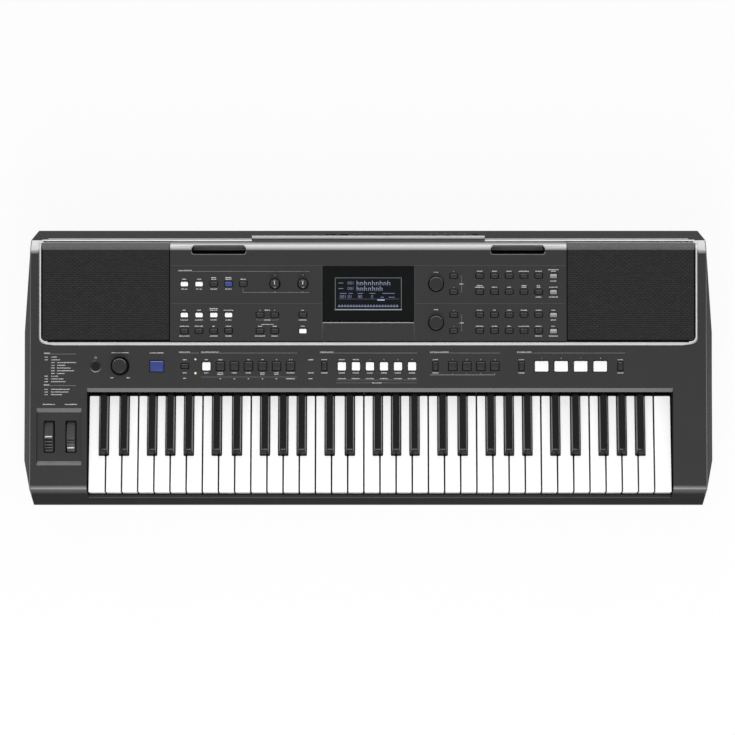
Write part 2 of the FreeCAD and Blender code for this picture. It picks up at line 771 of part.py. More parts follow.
def rear_panel():
    """Sloping rear wall with the socket field, between the ledge and the lower case."""
    wall = placed(REAR, box(-TOP_HALF, TOP_HALF, REAR_LIP, FAR, -WALL, 0))
    wall = wall.common(box(-FAR, FAR, -FAR, FAR, SEAM + SEAT_GAP, FAR))
    wall = wall.fuse(placed(REAR, jack_pad()))
    return wall.cut([placed(REAR, hole) for hole in rear_holes()]).removeSplitter()


def rear_gap():
    """Room that the rear panel takes from the upper case."""
    return placed(REAR, box(-FAR, FAR, REAR_LIP - SEAT_GAP, FAR, -WALL - SEAT_GAP, FAR))


def board_posts(xs, ts, surface):
    top = surface - WALL / 2
    return [block(x, t, POST, POST, surface - BOARD_TOP, top) for x in xs for t in ts]


LOWER_BOARD = (WELL_LEFT + 2 * POST, WELL_RIGHT - 4 * POST, LOWER_ROW - BOARD_EDGE, LOWER_ROW + BOARD_EDGE)
UPPER_BOARD = (GLASS_WIDTH / 2 + LCD_MARGIN, PANEL_HALF - 2 * PANEL_SKIRT - 4 * FLANGE_OUT,
               ROW_6 - BOARD_RIM, ROW_1 + BOARD_RIM)
UPPER_POST_T = (ROW_3 + ROW_4) / 2


def screw_places():
    """Screws from below: under the key frame, and under the upper case's rear posts."""
    front_y = Y_KEYS + WHITE_STOP_IN + 2 * STOP_WIDTH
    span = (WELL_RIGHT - WELL_LEFT) / 2 - 2 * BOSS
    middle = (WELL_LEFT + WELL_RIGHT) / 2
    frame = [(middle + i * span, front_y) for i in (-1, 1)]
    outer = TOP_HALF - 2 * BOSS
    inner = PANEL_HALF + BOSS
    rear = [(x, Y_CREST - 2 * BOSS) for x in (-outer, -inner, inner, outer)]
    return frame + rear, rear


def rear_posts():
    """Posts from the upper case's top down to the rear screws."""
    full = case_solid(-WALL / 2, TOP_HALF)
    return [full.common(block(x, y, BOSS, BOSS, FRAME_Z, FAR)) for x, y in screw_places()[1]]


def screw_bores():
    wide = SCREW_D + 2 * SCREW_PLAY
    reach = FOOT + SCREW_LENGTH + SCREW_PLAY
    return [many_sided(x, y, wide, SCREW_SIDES, 0, reach) for x, y in screw_places()[0]]


def top_case():
    shell = case_shell().common(box(-FAR, FAR, -FAR, FAR, SEAM, FAR))
    shell = shell.fuse(placed(LOWER, wheel_recess_floor()))
    shell = shell.cut([key_well(), rear_gap()])
    shell = shell.multiFuse([fallboard(), front_rail()] + block_walls() + rear_posts())
    posts = board_posts(LOWER_POST_XS, (LOWER_BOARD[2] + POST / 2, LOWER_BOARD[3] - POST / 2), 0)
    shell = shell.multiFuse([placed(LOWER, post) for post in posts])
    cuts = [button_hole(*b, 0) for group in LOWER_BUTTONS.values() for b in group]
    cuts += [knob_hole(x, t, 0) for x, t, size in LOWER_KNOBS.values()]
    cuts += [many_sided(LAMP_X, t, LAMP_D + SEAT_GAP, LAMP_SIDES, -2 * WALL, WALL) for t in LAMP_TS]
    cuts += [power_cut()] + wheel_recess_cut()
    cuts = [placed(LOWER, cut) for cut in cuts]
    cuts.append(placed(BEND, panel_opening()))
    for side in (-1, 1):
        hole = many_sided(side * SPEAKER_X, SPEAKER_T, SPEAKER_HOLE_D, SPEAKER_SIDES, -3 * WALL, WALL)
        cuts.append(placed(BEND, hole))
    return shell.cut(cuts + screw_bores()).removeSplitter()


def bottom_case():
    shell = case_shell().common(box(-FAR, FAR, -FAR, FAR, 0, SEAM))
    low = FOOT + WALL / 2
    bosses = [block(x, y, BOSS, BOSS, low, FRAME_Z) for x, y in screw_places()[0]]
    a, b = MAIN_BOARD
    inset = POST / 2
    posts = [
        block(sx * (a / 2 - inset), MAIN_BOARD_Y + sy * (b / 2 - inset), POST, POST, low, MAIN_BOARD_Z)
        for sx in (-1, 1) for sy in (-1, 1)
    ]
    return shell.multiFuse(bosses + posts).cut(screw_bores()).removeSplitter()


def end_cap(side):
    """Hollow side piece that swells from the case's outline to a smaller, wider copy of it."""
    inner = side * TOP_HALF
    outer = side * (TOP_HALF + CAP_WIDTH)
    outline = [(corner[0], corner[1]) for corner in case_corners()]
    low = [V(inner, y, z) for y, z in outline]
    high = [
        V(outer, RIDGE_Y + RIDGE_SCALE * (y - RIDGE_Y), RIDGE_Z + RIDGE_SCALE * (z - RIDGE_Z))
        for y, z in outline
    ]
    body = frustum(low, high)
    core = body.copy()
    core.translate(V(-side * WALL, 0, 0))
    return body.cut(core).common(prism_x(case_corners(), inner, outer))


# Raised group

def island_section(front, top, rear, rounding, x0, x1):
    """Rolled-over block on the case, from front to rear in the upper frame."""
    deep = -3 * ISLAND_RISE - 2 * rounding
    corners = [(front, deep), (front, top), (rear, top, rounding), (rear, deep)]
    return placed(UPPER, prism_x(corners, x0, x1))


def on_case(solid):
    """Cut so that the piece sits on the case."""
    return solid.cut(case_solid(SEAT_GAP, TOP_HALF))


def control_panel():
    rear = ISLAND_T
    body = island_section(PANEL_FROM, PANEL_PROUD, rear, PANEL_ROUND, -PANEL_HALF, PANEL_HALF)
    inside = PANEL_HALF - PANEL_SKIRT
    pocket = island_section(PANEL_FROM + PANEL_SKIRT, PANEL_PROUD - WALL, rear - PANEL_SKIRT,
                            PANEL_ROUND - WALL, -inside, inside)
    shell = on_case(body).cut(pocket)
    bottom = PANEL_PROUD - SLOT_DEPTH
    pockets = [
        chamfered_box(x, SLOT_FROM + SLOT_LENGTH / 2, SLOT_WIDTH + 2 * SLOT_WALL, SLOT_LENGTH + 2 * SLOT_WALL,
                    SLOT_CORNER + SLOT_WALL, bottom - SLOT_WALL, PANEL_PROUD - WALL / 2)
        for x in (-SLOT_X, SLOT_X)
    ]
    posts = board_posts(UPPER_POST_XS, (UPPER_POST_T,), PANEL_PROUD)
    shell = shell.multiFuse([placed(UPPER, piece) for piece in pockets + posts])
    cuts = [button_hole(*b, PANEL_PROUD) for group in UPPER_BUTTONS.values() for b in group]
    cuts += [knob_hole(x, t, PANEL_PROUD) for x, t, size in UPPER_KNOBS.values()]
    cuts += [
        chamfered_box(x, SLOT_FROM + SLOT_LENGTH / 2, SLOT_WIDTH, SLOT_LENGTH, SLOT_CORNER, bottom, 2 * WALL)
        for x in (-SLOT_X, SLOT_X)
    ]
    middle = GLASS_FROM + GLASS_LENGTH / 2
    seat = PANEL_PROUD - GLASS_THICK - SEAT_GAP
    clear = 2 * SEAT_GAP
    cuts.append(block(0, middle, GLASS_WIDTH + clear, GLASS_LENGTH + clear, seat, 2 * WALL))
    ledge = 2 * GLASS_LEDGE
    cuts.append(block(0, middle, GLASS_WIDTH - ledge, GLASS_LENGTH - ledge, -2 * WALL, 2 * WALL))
    return shell.cut([placed(UPPER, cut) for cut in cuts]).removeSplitter()


def display_window():
    top = PANEL_PROUD - SEAT_GAP / 2
    glass = block(0, GLASS_FROM + GLASS_LENGTH / 2, GLASS_WIDTH, GLASS_LENGTH, top - GLASS_THICK, top)
    return placed(UPPER, glass)


def lcd_module():
    """Module board behind the panel, with the framed cell below the window."""
    middle = LCD_FROM + LCD_LENGTH / 2
    back = PANEL_PROUD - WALL - SEAT_GAP
    cell_top = PANEL_PROUD - GLASS_THICK - 2 * SEAT_GAP
    cell = block(0, middle, LCD_WIDTH, LCD_LENGTH, back - LCD_BOARD, cell_top)
    ledge = GLASS_LENGTH + LCD_MARGIN
    board = block(0, GLASS_FROM + GLASS_LENGTH / 2, GLASS_WIDTH + LCD_MARGIN, ledge, back - LCD_BOARD, back)
    return placed(UPPER, board.fuse(cell))


def grille(side):
    block_x = sorted((side * GRILLE_INNER, side * GRILLE_HALF))
    slab = on_case(island_section(GRILLE_FROM, -GRILLE_DROP, ISLAND_T - GRILLE_GAP,
                                  PANEL_ROUND - GRILLE_DROP, *block_x))
    corner = TRIM_CORNER - TRIM / 2
    corners = [
        (side * GRILLE_INNER, GRILLE_FROM),
        (side * GRILLE_HALF, GRILLE_FROM, corner),
        (side * GRILLE_HALF, FAR),
        (side * GRILLE_INNER, FAR),
    ]
    return slab.common(placed(UPPER, prism_z(corners, -FAR, FAR)))


def trim_frame():
    """Frame with sloping outer faces: front bar, two side bars, and beads along the rear ledge."""
    low = -2 * ISLAND_RISE - 2 * PANEL_ROUND

    def outline(inset, z):
        half = TRIM_HALF - inset
        corners = [
            (-half, inset, TRIM_CORNER),
            (half, inset, TRIM_CORNER),
            (half, ISLAND_T),
            (-half, ISLAND_T),
        ]
        return closed_wire(corners, lambda p: V(p.x, p.y, z))

    foot = Part.Face(outline(0, low)).extrude(V(0, 0, -TRIM_BEVEL - low))
    slope = Part.makeLoft([outline(0, -TRIM_BEVEL), outline(TRIM_SLOPE, 0)], True, True)
    ring = placed(UPPER, foot.fuse(slope))
    ring = ring.common(island_section(-ISLAND_RISE, 0, ISLAND_T - GRILLE_GAP, PANEL_ROUND, -FAR, FAR))
    inner = TRIM_HALF - TRIM
    corner = TRIM_CORNER - TRIM / 2
    window = [
        (-inner, TRIM_FRONT, corner),
        (inner, TRIM_FRONT, corner),
        (inner, FAR),
        (-inner, FAR),
    ]
    before_panel = block(0, TRIM_NARROW + FAR / 2, 2 * GRILLE_INNER, FAR, -FAR, FAR)
    ring = on_case(ring).cut([placed(UPPER, prism_z(window, -FAR, FAR)), placed(UPPER, before_panel)])
    return Part.makeCompound(ring.Solids + rear_beads())


def rear_beads():
    """Bright beads: beside the jack pad on the ledge, and on top of the pad."""
    pad = JACK_PAD_WIDTH / 2
    size = REAR_BEAD

    def bead(x0, x1, n):
        return placed(REAR, box(x0, x1, JACK_PAD_FROM, JACK_PAD_FROM + size, n, n + size))

    outer = TRIM_HALF - BEAD_CLEAR
    return [
        bead(-outer, -pad - SEAT_GAP, SEAT_GAP),
        bead(-pad, pad, JACK_PAD_PROUD + SEAT_GAP),
        bead(pad + SEAT_GAP, outer, SEAT_GAP),
    ]


# Inside

def loudspeakers():
    """Per speaker: basket with its flange, paper cone and magnet, all with flat sides."""
    solids = []
    sheet = SPEAKER_SHEET
    seat = BEND.multiply(Placement(V(0, 0, -WALL - SEAT_GAP), Rotation()))
    for side in (-1, 1):
        x = side * SPEAKER_X

        def ring(diameter, z):
            return [V(a, b, z) for a, b in ring_points(x, SPEAKER_T, diameter, SPEAKER_SIDES)]

        def drum(diameter, z0, z1):
            return many_sided(x, SPEAKER_T, diameter, SPEAKER_SIDES, z0, z1)

        back = -SPEAKER_DEPTH
        bowl = frustum(ring(SPEAKER_BACK_D, back), ring(SPEAKER_D, -SPEAKER_FLANGE))
        bowl = bowl.fuse(drum(SPEAKER_D, -SPEAKER_FLANGE, 0))
        mouth = CONE_D + 2 * sheet
        hollow = frustum(ring(SPEAKER_BACK_D - 2 * sheet, back + sheet), ring(mouth, -SPEAKER_FLANGE))
        basket = bowl.cut([hollow, drum(mouth, -SPEAKER_FLANGE, 0)])
        paper = frustum(ring(CONE_COIL_D, -CONE_DEPTH), ring(mouth - 2 * SEAT_GAP, -sheet))
        inside = paper.copy()
        inside.translate(V(0, 0, sheet))
        magnet = drum(MAGNET_D, back - MAGNET_THICK, back)
        solids += [placed(seat, piece) for piece in (basket, paper.cut(inside), magnet)]
    return Part.makeCompound(solids)


CONTACT_Y0 = Y_FALL - CONTACT_FROM
CONTACT_Y1 = CONTACT_Y0 + CONTACT_LENGTH
WHITE_STOP_Y = Y_KEYS + WHITE_STOP_IN
SHARP_STOP_Y = Y_SHARP + SHARP_STOP_IN
WHITE_STOP_Z = KEY_TOP - STOP_REACH_WHITE - FELT
SHARP_STOP_Z = KEY_TOP - STOP_REACH_SHARP - FELT


def key_frame():
    """Plate with stop rails, contact ribs, and the rail whose edge carries the keys."""
    x0 = WELL_LEFT + FRAME_MARGIN
    x1 = WELL_RIGHT - FRAME_MARGIN
    floor = FRAME_Z + FRAME_PLATE
    pieces = [box(x0, x1, Y_KEYS + WALL, Y_TAIL + RAIL_WIDTH, FRAME_Z, floor)]
    for y, z in ((WHITE_STOP_Y, WHITE_STOP_Z), (SHARP_STOP_Y, SHARP_STOP_Z)):
        pieces.append(box(x0, x1, y, y + STOP_WIDTH, FRAME_Z, z))
    for y in (CONTACT_Y0, CONTACT_Y1 - CONTACT_RIB):
        pieces.append(box(x0, x1, y, y + CONTACT_RIB, FRAME_Z, CONTACT_Z))
    half = RAIL_WIDTH / 2
    shoulder = KEY_BOTTOM - 2 * PIVOT_RISE
    edge = PIVOT_Z - PIVOT_GAP
    corners = [
        (Y_PIVOT - half, FRAME_Z),
        (Y_PIVOT - half, shoulder),
        (Y_PIVOT - PIVOT_RISE, shoulder),
        (Y_PIVOT, edge),
        (Y_PIVOT + PIVOT_RISE, shoulder),
        (Y_PIVOT + half, shoulder),
        (Y_PIVOT + half, FRAME_Z),
    ]
    pieces.append(prism_x(corners, x0, x1))
    bar_low = KEY_TOP + HOLD_GAP
    pieces.append(box(x0, x1, Y_PIVOT - half, Y_TAIL + half, bar_low, bar_low + HOLD_DOWN))
    pieces.append(box(x0, x1, Y_TAIL + HOLD_GAP, Y_TAIL + half, FRAME_Z, bar_low))
    return joined(pieces).cut(screw_bores())


def key_felts():
    x0 = WELL_LEFT + FRAME_MARGIN
    x1 = WELL_RIGHT - FRAME_MARGIN
    strips = [
        box(x0, x1, y, y + STOP_WIDTH, z, z + FELT)
        for y, z in ((WHITE_STOP_Y, WHITE_STOP_Z), (SHARP_STOP_Y, SHARP_STOP_Z))
    ]
    return Part.makeCompound(strips)


def circuit_boards():
    """Boards under the lower and the raised panel, the contact board under the keys, and the main board."""
    x0, x1, t0, t1 = LOWER_BOARD
    boards = [placed(LOWER, box(x0, x1, t0, t1, -BOARD_TOP - BOARD, -BOARD_TOP - SEAT_GAP / 2))]
    x0, x1, t0, t1 = UPPER_BOARD
    top = PANEL_PROUD - BOARD_TOP - SEAT_GAP / 2
    for a, b in ((-x1, -x0), (x0, x1)):
        boards.append(placed(UPPER, box(a, b, t0, t1, top - BOARD, top)))
    x0 = WELL_LEFT + FRAME_MARGIN
    x1 = WELL_RIGHT - FRAME_MARGIN
    boards.append(box(x0, x1, CONTACT_Y0, CONTACT_Y1, CONTACT_Z, CONTACT_Z + BOARD))
    a, b = MAIN_BOARD
    boards.append(block(0, MAIN_BOARD_Y, a, b, MAIN_BOARD_Z, MAIN_BOARD_Z + BOARD))
    return Part.makeCompound(boards)


def contact_rubbers():
    """One strip per octave with a ridge that every key presses."""
    strips = []
    low = CONTACT_Z + BOARD
    middle = (CONTACT_Y0 + CONTACT_Y1) / 2
    for octave in range(OCTAVES):
        x0 = KEYS_LEFT + octave * 7 * KEY_PITCH + KEY_GAP
        x1 = x0 + 7 * KEY_PITCH - 2 * KEY_GAP
        if octave == OCTAVES - 1:
            x1 += KEY_PITCH
        corners = [
            (middle - RUBBER_LENGTH, low),
            (middle + RUBBER_LENGTH, low),
            (middle + RUBBER_LENGTH, low + RUBBER_BASE),
            (middle + DOME, low + RUBBER_BASE),
            (middle + DOME / 2, low + RUBBER_RISE),
            (middle - DOME / 2, low + RUBBER_RISE),
            (middle - DOME, low + RUBBER_BASE),
            (middle - RUBBER_LENGTH, low + RUBBER_BASE),
        ]
        strips.append(prism_x(corners, x0, x1))
    return Part.makeCompound(strips)


def plug_socket(x, body, opening):
    """Socket body behind the rear wall, less its opening, in the rear frame."""
    face = -WALL - SEAT_GAP
    return block(x, JACK_S, body[0], body[1], face - body[2], face).cut(opening)


def usb_port(x, size):
    """Metal shell with its contact tongue, seated in the rear wall."""
    low = -WALL - USB_DEPTH
    outer = block(x, JACK_S, size[0] + 2 * USB_SHELL, size[1] + 2 * USB_SHELL, low - USB_SHELL, 0)
    shell = outer.cut(block(x, JACK_S, size[0], size[1], low, 0))
    tongue = block(x, JACK_S, size[0] / 2, size[1] / 3, low - USB_SHELL / 2, -WALL)
    return shell.fuse(tongue)


def open_jack(x):
    """Socket whose nose passes through the rear panel, with one bore right through nose and body."""
    face = -WALL - SEAT_GAP
    low = face - JACK_BODY[2]
    high = JACK_PAD_PROUD + JACK_NOSE
    body = block(x, JACK_S, JACK_BODY[0], JACK_BODY[1], low, face)
    nose = many_sided(x, JACK_S, JACK_HOLE_D - 2 * SEAT_GAP, JACK_HOLE_SIDES, face - SEAT_GAP, high)
    return body.fuse(nose).cut(rod(x, JACK_S, 2 * PLUG_BORE, 2 * low, 2 * high)).removeSplitter()


def jack_sockets():
    face = -WALL - SEAT_GAP
    sockets = [open_jack(x) for x in JACK_XS]
    mini = many_sided(MINI_X, JACK_S, 2 * MINI_BORE, LAMP_SIDES, face - MINI_DEPTH, face)
    sockets.append(plug_socket(MINI_X, MINI_BODY, mini))
    inlet = many_sided(DC_X, JACK_S, 2 * DC_BORE, LAMP_SIDES, face - DC_DEPTH, face)
    pin = block(DC_X, JACK_S, DC_PIN, DC_PIN, face - DC_DEPTH - USB_SHELL, face - USB_SHELL)
    sockets.append(plug_socket(DC_X, DC_BODY, inlet).fuse(pin))
    sockets.append(usb_port(USB_B_X, USB_B))
    sockets.append(usb_port(USB_A_X, USB_A))
    return Part.makeCompound([placed(REAR, socket) for socket in sockets])


def case_screws():
    """Pan-head screws under the lower case."""
    screws = []
    for x, y in screw_places()[0]:
        top = FOOT - SEAT_GAP
        head = many_sided(x, y, SCREW_HEAD_D, 2 * SCREW_SIDES, top - SCREW_HEAD, top)
        screws.append(head.fuse(many_sided(x, y, SCREW_D, SCREW_SIDES, top, FOOT + SCREW_LENGTH)))
    return Part.makeCompound(screws)


def rubber_feet():
    x = TOP_HALF - FOOT_IN
    y0 = Y_FRONT + FOOT_IN
    y1 = Y_REAR - FOOT_IN
    places = [(-x, y0), (x, y0), (-x, y1), (x, y1)]
    return Part.makeCompound([many_sided(x, y, FOOT_D, FOOT_SIDES, 0, FOOT) for x, y in places])


# Keys

def sharp_x(index):
    """Middle of the black key after white key number index, or None."""
    note = index % 7
    if note not in SHARP_SHIFT or index < 0 or index >= WHITE_COUNT - 1:
        return None
    return KEYS_LEFT + (index + 1) * KEY_PITCH + SHARP_SHIFT[note]


def pivot_notch():
    """Corners of the notch that sits on the key frame's edge, from the front."""
    return [
        (Y_PIVOT - PIVOT_RISE - PIVOT_GAP, KEY_BOTTOM),
        (Y_PIVOT, PIVOT_Z),
        (Y_PIVOT + PIVOT_RISE + PIVOT_GAP, KEY_BOTTOM),
    ]


def white_key(index):
    left = KEYS_LEFT + index * KEY_PITCH + KEY_GAP / 2
    right = left + KEY_PITCH - KEY_GAP
    section = [
        (Y_KEYS, KEY_TOP - WHITE_LIP),
        (Y_KEYS + LIP_THICK, KEY_TOP - WHITE_LIP),
        (Y_KEYS + LIP_THICK, KEY_BOTTOM),
    ] + pivot_notch() + [
        (Y_TAIL, KEY_BOTTOM),
        (Y_TAIL, KEY_TOP),
        (Y_KEYS + WHITE_CHAMFER, KEY_TOP),
        (Y_KEYS, KEY_TOP - WHITE_CHAMFER),
    ]
    key = prism_x(section, left, right)
    slot = SHARP_BASE / 2 + SHARP_GAP
    y0 = Y_SHARP - 2 * SHARP_GAP
    y1 = Y_TAIL + WALL
    cuts = []
    before = sharp_x(index - 1)
    after = sharp_x(index)
    if before is not None:
        cuts.append(box(left - KEY_GAP, before + slot, y0, y1, 0, FAR))
    if after is not None:
        cuts.append(box(after - slot, right + KEY_GAP, y0, y1, 0, FAR))
    return key.cut(cuts) if cuts else key


def sharp_key(index):
    """Black key: tail below, raised part with a sloping front and drawn-in sides."""
    x = sharp_x(index)
    half = SHARP_BASE / 2
    high = KEY_TOP + SHARP_RISE
    foot = KEY_TOP + SHARP_FOOT
    back = Y_FALL + SHARP_BACK
    section = [
        (Y_SHARP, KEY_BOTTOM),
    ] + pivot_notch() + [
        (Y_TAIL, KEY_BOTTOM),
        (Y_TAIL, KEY_TOP),
        (back, KEY_TOP),
        (back, high),
        (Y_SHARP + SHARP_NOSE, high),
        (Y_SHARP, foot),
    ]
    key = prism_x(section, x - half, x + half)
    inset = (SHARP_BASE - SHARP_TOP) / 2
    wedges = []
    for side in (-1, 1):
        edge = x + side * half
        corners = [
            (edge, foot),
            (edge + side, foot),
            (edge + side, high + 1),
            (edge - side * inset, high + 1),
            (edge - side * inset, high),
        ]
        wedges.append(prism_y(corners, Y_SHARP - 1, back + 1))
    return key.cut(wedges)


def key_combs():
    """Per octave: C E G B, then D F A, then the black keys; the top C stands alone."""
    combs = {}
    for octave in range(OCTAVES):
        first = 7 * octave
        name = "octave_%d_" % (octave + 1)
        outer = [white_key(first + n) for n in (0, 2, 4, 6)]
        inner = [white_key(first + n) for n in (1, 3, 5)]
        black = [sharp_key(first + n) for n in SHARP_SHIFT]
        combs[name + "c_e_g_b"] = Part.makeCompound(outer)
        combs[name + "d_f_a"] = Part.makeCompound(inner)
        combs[name + "sharps"] = Part.makeCompound(black)
    combs["top_c"] = white_key(WHITE_COUNT - 1)
    return combs


def all_parts():
    pitch_x, mod_x = wheel_xs()
    parts = {
        "top_case": top_case(),
        "bottom_case": bottom_case(),
        "rear_panel": rear_panel(),
        "end_cap_left": end_cap(-1),
        "end_cap_right": end_cap(1),
        "control_panel": control_panel(),
        "grille_left": grille(-1),
        "grille_right": grille(1),
        "trim_frame": trim_frame(),
        "display_window": display_window(),
        "lcd_module": lcd_module(),
        "loudspeakers": loudspeakers(),
        "circuit_boards": circuit_boards(),
        "potentiometers": potentiometers(),
        "indicator_lamps": indicator_lamps(),
        "key_frame": key_frame(),
        "key_felts": key_felts(),
        "contact_rubbers": contact_rubbers(),
        "jack_sockets": jack_sockets(),
        "case_screws": case_screws(),
        "rubber_feet": rubber_feet(),
        "wheel_box": wheel_box(),
        "pitch_wheel": wheel(pitch_x, 0),
        "mod_wheel": wheel(mod_x, MOD_MARK),
        "power_button": power_button(),
    }
    for name, buttons in LOWER_BUTTONS.items():
        parts[name] = button_group(buttons, LOWER, 0)
    for name, buttons in UPPER_BUTTONS.items():
        parts[name] = button_group(buttons, UPPER, PANEL_PROUD)
    for name, (x, t, size) in LOWER_KNOBS.items():
        parts[name] = placed(LOWER, knob(x, t, size, 0))
    for name, (x, t, size) in UPPER_KNOBS.items():
        parts[name] = placed(UPPER, knob(x, t, size, PANEL_PROUD))
    parts.update(key_combs())
    return parts


os.makedirs("parts", exist_ok=True)
for node, shape in all_parts().items():
    shape.exportStep("parts/%s.step" % node)
    print("%-24s %d solids" % (node, len(shape.Solids)))
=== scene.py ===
# %% [markdown]
# # Dressing an arranger keyboard
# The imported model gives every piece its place. This lesson gives the pieces their looks: finishes made from
# procedural nodes, and new surfaces where the plain solids have too little detail. All sizes here are in
# millimetres, because a keyboard is drawn in millimetres, and they become metres when a mesh is made.

# %% Load the frame
import math

import bpy
import numpy as np
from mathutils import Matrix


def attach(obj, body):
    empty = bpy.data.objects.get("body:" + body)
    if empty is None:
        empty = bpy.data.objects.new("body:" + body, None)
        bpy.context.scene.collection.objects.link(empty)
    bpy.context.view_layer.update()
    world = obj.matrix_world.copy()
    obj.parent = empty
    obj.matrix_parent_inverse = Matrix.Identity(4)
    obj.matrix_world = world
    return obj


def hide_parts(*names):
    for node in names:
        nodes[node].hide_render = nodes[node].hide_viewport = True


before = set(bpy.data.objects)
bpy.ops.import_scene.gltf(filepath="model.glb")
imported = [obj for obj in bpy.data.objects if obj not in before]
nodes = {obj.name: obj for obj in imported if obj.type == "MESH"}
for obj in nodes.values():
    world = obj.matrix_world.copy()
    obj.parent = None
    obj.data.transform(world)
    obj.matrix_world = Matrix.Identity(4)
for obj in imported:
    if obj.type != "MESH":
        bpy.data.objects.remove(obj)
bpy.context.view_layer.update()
scene = bpy.context.scene
MM = 0.001

# %% [markdown]
# ## Camera, floor and light
# The photograph looks down on the keyboard from far away, 9.7 degrees off the vertical, so lines along the
# keyboard stay nearly parallel. A long lens at 4.2 m does the same. The background is white: world and
# floor show plain white to the camera and to reflections, and light the object at a plain level.

# %% Camera
TILT = math.radians(9.7)
AIM = np.array([-1.17, -13.3, 90.0])
DISTANCE = 4200.0
camera_data = bpy.data.cameras.new("camera")
camera_data.lens = 141.1
camera_data.sensor_width = 36.0
camera = bpy.data.objects.new("camera", camera_data)
camera.location = (AIM + DISTANCE * np.array([0.0, -math.sin(TILT), math.cos(TILT)])) * MM
camera.rotation_euler = (TILT, 0.0, 0.0)
scene.collection.objects.link(camera)
scene.camera = camera
scene.view_settings.view_transform = "Standard"
print("camera at", tuple(camera.location))

# %% Node helpers


def feed(tree, node, inputs):
    """Each input takes a number, a colour, or the output of another node as a link."""
    for key, value in inputs.items():
        if isinstance(value, bpy.types.NodeSocket):
            tree.links.new(value, node.inputs[key])
        else:
            node.inputs[key].default_value = value
    return node


def put(tree, kind, inputs):
    return feed(tree, tree.nodes.new(kind), inputs)


def combined(tree, operation, *values):
    """A Math node over sockets and plain numbers."""
    node = put(tree, "ShaderNodeMath", dict(enumerate(values)))
    node.operation = operation
    return node.outputs[0]


def empty_tree(block):
    """The node tree of a world or a material, with nothing in it."""
    block.use_nodes = True
    block.node_tree.nodes.clear()
    return block.node_tree


# %% World and floor
AMBIENT = 0.22
FLOOR_SHOWN = 0.93
FLOOR_HALF = 4.0


def seen_directly(tree):
    """One for camera, glossy and transmission rays, zero for the rays that light things."""
    path = tree.nodes.new("ShaderNodeLightPath").outputs
    seen = combined(tree, "MAXIMUM", path["Is Camera Ray"], path["Is Glossy Ray"])
    return combined(tree, "MAXIMUM", seen, path["Is Transmission Ray"])


def show_by_ray(tree, share, lighting, shown, output):
    """The first shader lights things; the second is what a ray with share 1 sees."""
    mix = put(tree, "ShaderNodeMixShader", {0: share, 1: lighting.outputs[0], 2: shown.outputs[0]})
    put(tree, output, {"Surface": mix.outputs[0]})


scene.world = bpy.data.worlds.new("studio")
tree = empty_tree(scene.world)
white = (1.0, 1.0, 1.0, 1.0)
skies = [put(tree, "ShaderNodeBackground", {"Color": white, "Strength": level}) for level in (AMBIENT, 1.0)]
show_by_ray(tree, seen_directly(tree), *skies, "ShaderNodeOutputWorld")

paper = bpy.data.materials.new("floor_paper")
tree = empty_tree(paper)
diffuse = put(tree, "ShaderNodeBsdfDiffuse", {"Color": (0.85, 0.85, 0.85, 1.0)})
share = combined(tree, "MULTIPLY", seen_directly(tree), FLOOR_SHOWN)
show_by_ray(tree, share, diffuse, tree.nodes.new("ShaderNodeEmission"), "ShaderNodeOutputMaterial")

floor_mesh = bpy.data.meshes.new("floor")
corners = [(FLOOR_HALF * x, FLOOR_HALF * y, 0.0) for x, y in ((-1, -1), (1, -1), (1, 1), (-1, 1))]
floor_mesh.from_pydata(corners, [], [(0, 1, 2, 3)])
floor_mesh.materials.append(paper)
floor = bpy.data.objects.new("floor", floor_mesh)
scene.collection.objects.link(floor)
print("floor and world are white to the camera")

# %% Lamps
CENTRE = (0.0, 0.0, 0.1)


def soft_lamp(name, place, target, size, power):
    """A rectangular lamp at place that faces target."""
    data = bpy.data.lights.new(name, "AREA")
    data.shape = "RECTANGLE"
    data.size, data.size_y = size
    data.energy = power
    lamp = bpy.data.objects.new(name, data)
    x, y, z = np.array(target) - np.array(place)
    lamp.location = place
    lamp.rotation_euler = (math.atan2(math.hypot(x, y), -z), 0.0, math.atan2(-x, y))
    scene.collection.objects.link(lamp)


for side, name in ((-1, "left"), (1, "right")):
    soft_lamp(name, (2.6 * side, -0.6, 1.9), CENTRE, (0.9, 1.6), 6.0)
soft_lamp("in_front", (0.0, -2.6, 0.75), (0.0, -0.1, 0.1), (2.4, 0.6), 8.0)
soft_lamp("front_top", (0.0, -2.3, 1.9), CENTRE, (1.4, 1.6), 84.0)
soft_lamp("behind", (0.0, 2.3, 1.7), (0.0, 0.1, 0.1), (2.4, 2.0), 14.0)
soft_lamp("behind_low", (0.0, 2.6, 0.75), (0.0, 0.1, 0.1), (2.4, 0.6), 7.0)
for side, name in ((-1, "rear_left"), (1, "rear_right")):
    soft_lamp(name, (2.4 * side, 2.2, 0.6), (0.2 * side, 0.2, 0.1), (0.9, 0.9), 18.0)

# %% [markdown]
# ## Finishes
# Nearly everything here is moulded plastic. Real moulded plastic is never one flat colour: the mould's fine
# grain breaks up the gloss, and the colour drifts a little. One builder makes all of them from two noises,
# a slow one for drift and a fine one for grain, both on Object coordinates so that nothing slides.

# %% Colours, noise and ranges
finishes = {}


def linear(value):
    """A screen value from 0 to 255 as linear light: v/12.92 below 0.04, else ((v + 0.055)/1.055) to 2.4."""
    v = value / 255.0
    return v / 12.92 if v <= 0.04045 else ((v + 0.055) / 1.055) ** 2.4


def tone(screen):
    """A linear colour from one grey or from three screen values."""
    rgb = screen if isinstance(screen, tuple) else (screen,) * 3
    return tuple(linear(v) for v in rgb)


def object_coords(tree):
    return tree.nodes.new("ShaderNodeTexCoord").outputs["Object"]


def parts_of(tree, vector):
    """X, Y and Z of a vector."""
    return put(tree, "ShaderNodeSeparateXYZ", {0: vector}).outputs


